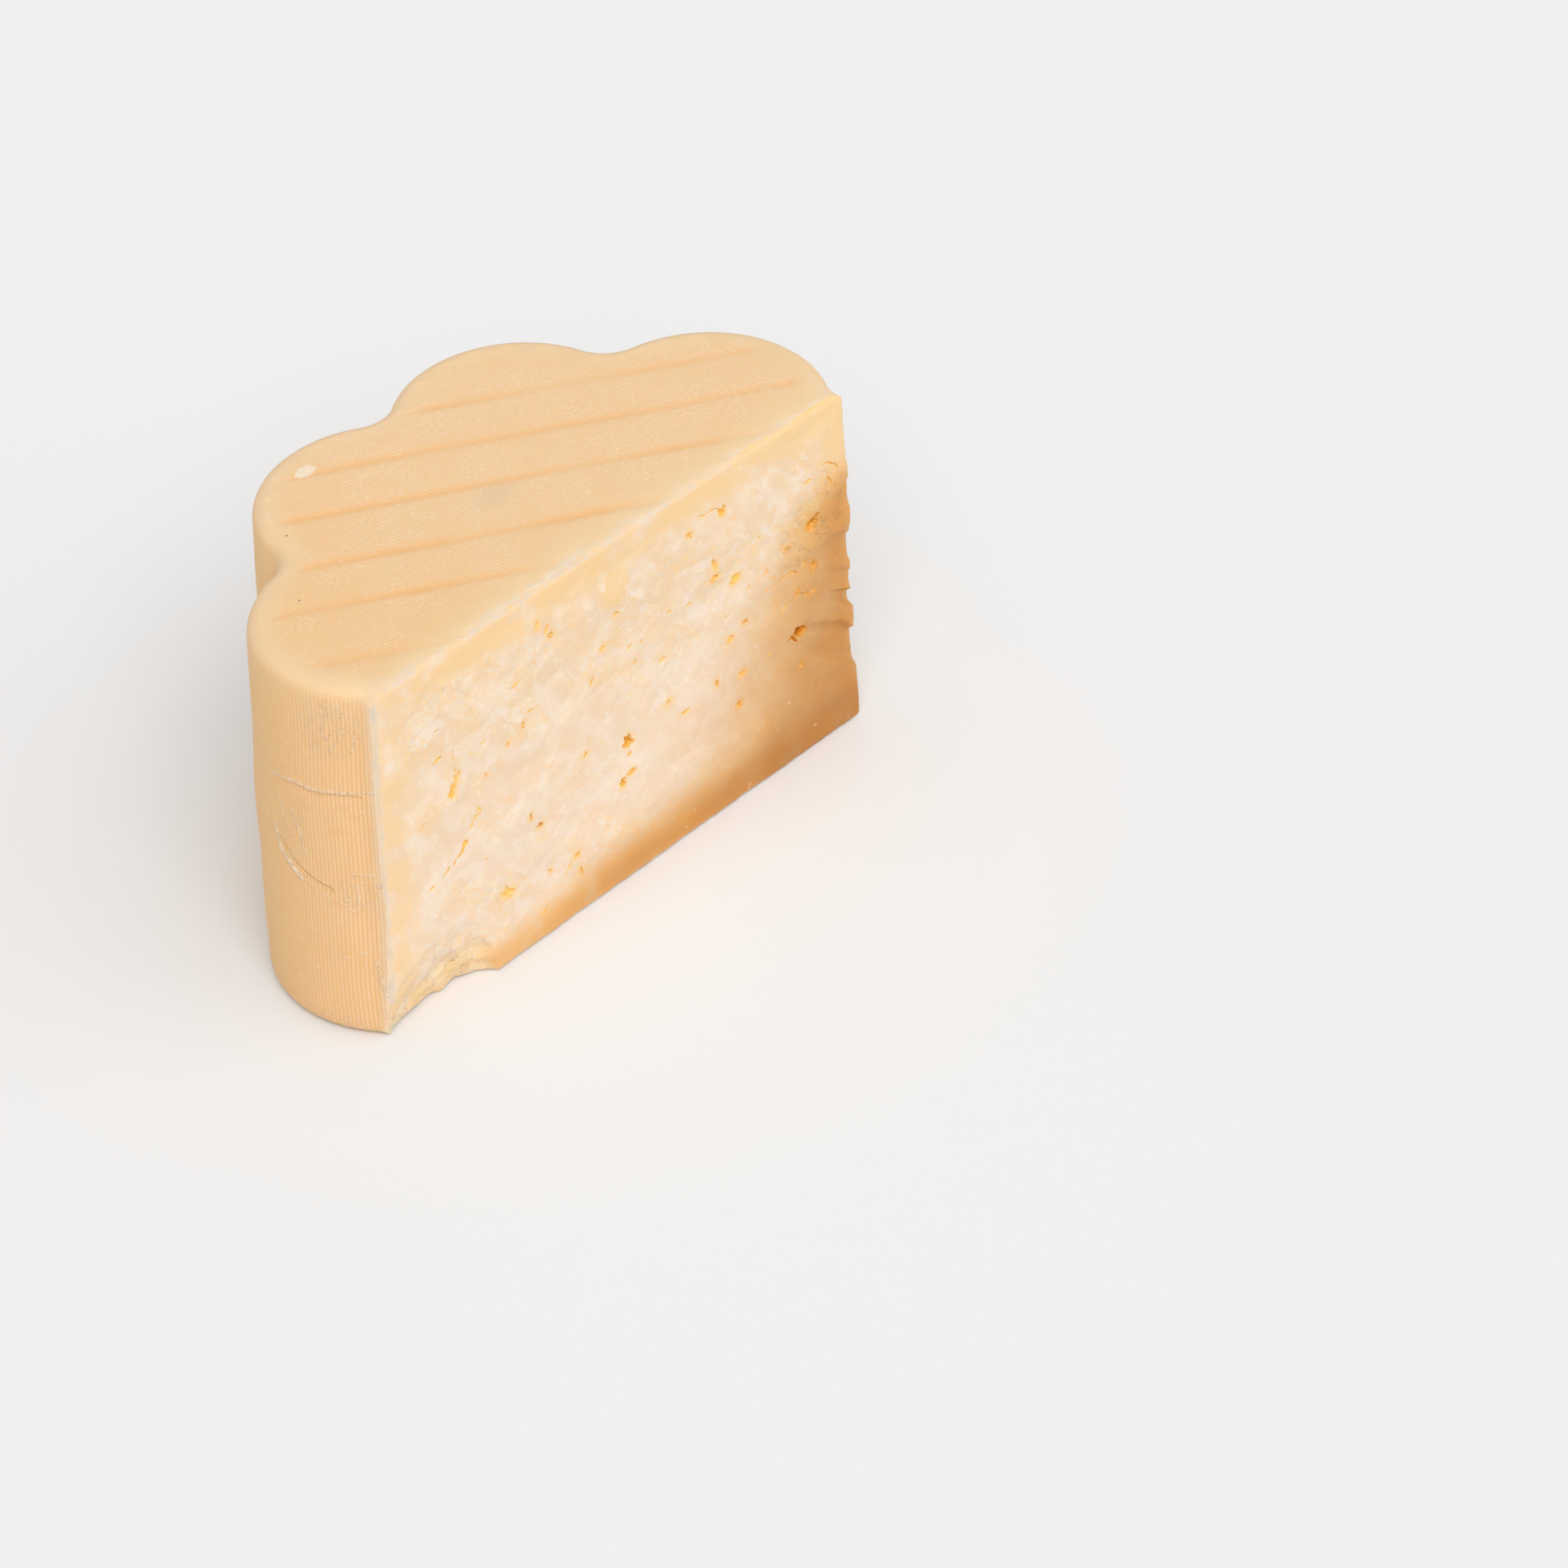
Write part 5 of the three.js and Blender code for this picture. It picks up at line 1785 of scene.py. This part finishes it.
@dataclass
class Studio:
    """The pale floor, the soft light and the camera.

    Attributes:
        middle: The wheel's middle on the floor.
        place: Where the camera stands, from the wheel's middle.
        forward: Where it looks.
        roll: How far it leans, in degrees.
        lens: Its focal length in millimetres, on a sensor 36 mm wide.
    """

    middle: Vector
    place: tuple[float, float, float] = (-0.82311, -0.86010, 0.98727)
    forward: tuple[float, float, float] = (0.55632, 0.54429, -0.62790)
    roll: float = -2.809
    lens: float = 137.28
    floor_half: float = 6.0
    floor_colour: Colour = (0.80, 0.80, 0.80)
    sky: float = 0.62
    lamps: tuple[SoftLight, ...] = (
        SoftLight("key_light", (-0.50, -0.65, 0.95), 1.55, math.radians(40.0)),
        SoftLight("fill_light", (0.30, -0.90, 0.80), 0.50, math.radians(60.0)),
    )

    def build(self) -> None:
        """Makes the floor, the light and the camera."""
        self._floor()
        self._light()
        self._camera()

    def _floor(self) -> None:
        """Makes the pale floor."""
        bpy.ops.mesh.primitive_plane_add(size=2 * self.floor_half, location=(0, 0, -0.0001))
        floor = bpy.context.object
        floor.name = "studio_floor"
        material, sheet = new_material("pale_floor")
        values = {"Base Color": (*self.floor_colour, 1.0), "Roughness": 0.9, "Specular IOR Level": 0.1}
        shader = sheet.add("ShaderNodeBsdfPrincipled", values)
        end = sheet.add("ShaderNodeOutputMaterial")
        sheet.tree.links.new(shader.outputs[0], end.inputs[0])
        floor.data.materials.append(material)

    def _light(self) -> None:
        """Makes the even light of the room and the wide soft lights."""
        world = bpy.data.worlds.new("studio")
        bpy.context.scene.world = world
        world.use_nodes = True
        world.node_tree.nodes["Background"].inputs[0].default_value = (1.0, 1.0, 1.0, 1.0)
        world.node_tree.nodes["Background"].inputs[1].default_value = self.sky
        for lamp in self.lamps:
            bpy.ops.object.light_add(type="SUN", location=lamp.comes_from)
            sun = bpy.context.object
            sun.name = lamp.name
            sun.data.energy = lamp.strength
            sun.data.angle = lamp.width
            sun.rotation_euler = Vector(lamp.comes_from).to_track_quat("Z", "Y").to_euler()

    def _camera(self) -> None:
        """Makes the camera at the photograph's viewing angle."""
        bpy.ops.object.camera_add()
        camera = bpy.context.object
        camera.name = "camera"
        camera.data.lens = self.lens
        camera.data.sensor_width = 36.0
        camera.data.clip_end = 20.0
        turn = Vector(self.forward).to_track_quat("-Z", "Y").to_matrix().to_4x4()
        lean = Matrix.Rotation(math.radians(self.roll), 4, "Z")
        camera.matrix_world = Matrix.Translation(self.middle + Vector(self.place)) @ turn @ lean
        bpy.context.scene.camera = camera


def main() -> None:
    """Builds the cheese and its studio, and hands the cheese to the frame."""
    logging.basicConfig(level=logging.INFO, format="%(name)s: %(message)s")
    bpy.ops.object.select_all(action="DESELECT")
    bpy.context.scene.view_settings.view_transform = "Standard"
    form = WheelForm(height=CAD_HIGH.z, reach=CAD_HIGH.x)
    cut_place = CAD_HIGH.y - form.reach
    rind = PressedRind(form)
    cut = TornCut(form)
    piece = HalfWheel(form, rind, cut, Hollows(cut), cut_place).build()
    flecks, grain, crumbs, stroke = make_flecks(), make_grain(), make_crumbs(), make_stroke()
    rind_material = RindFinish(cut_place, -rind.line_angle).build(flecks, grain, stroke)
    paste_material = PasteFinish().build(flecks, crumbs)
    dress(piece, {Skin.RIND: rind_material, Skin.PASTE: paste_material})
    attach(piece, ROOT_BODY)
    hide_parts(CHEESE_NODE)
    triangles = sum(len(face.vertices) - 2 for face in piece.data.polygons)
    log.info("%s: %d triangles", piece.name, triangles)
    Studio(Vector((0.0, cut_place, 0.0))).build()


if __name__ == "__main__":
    main()
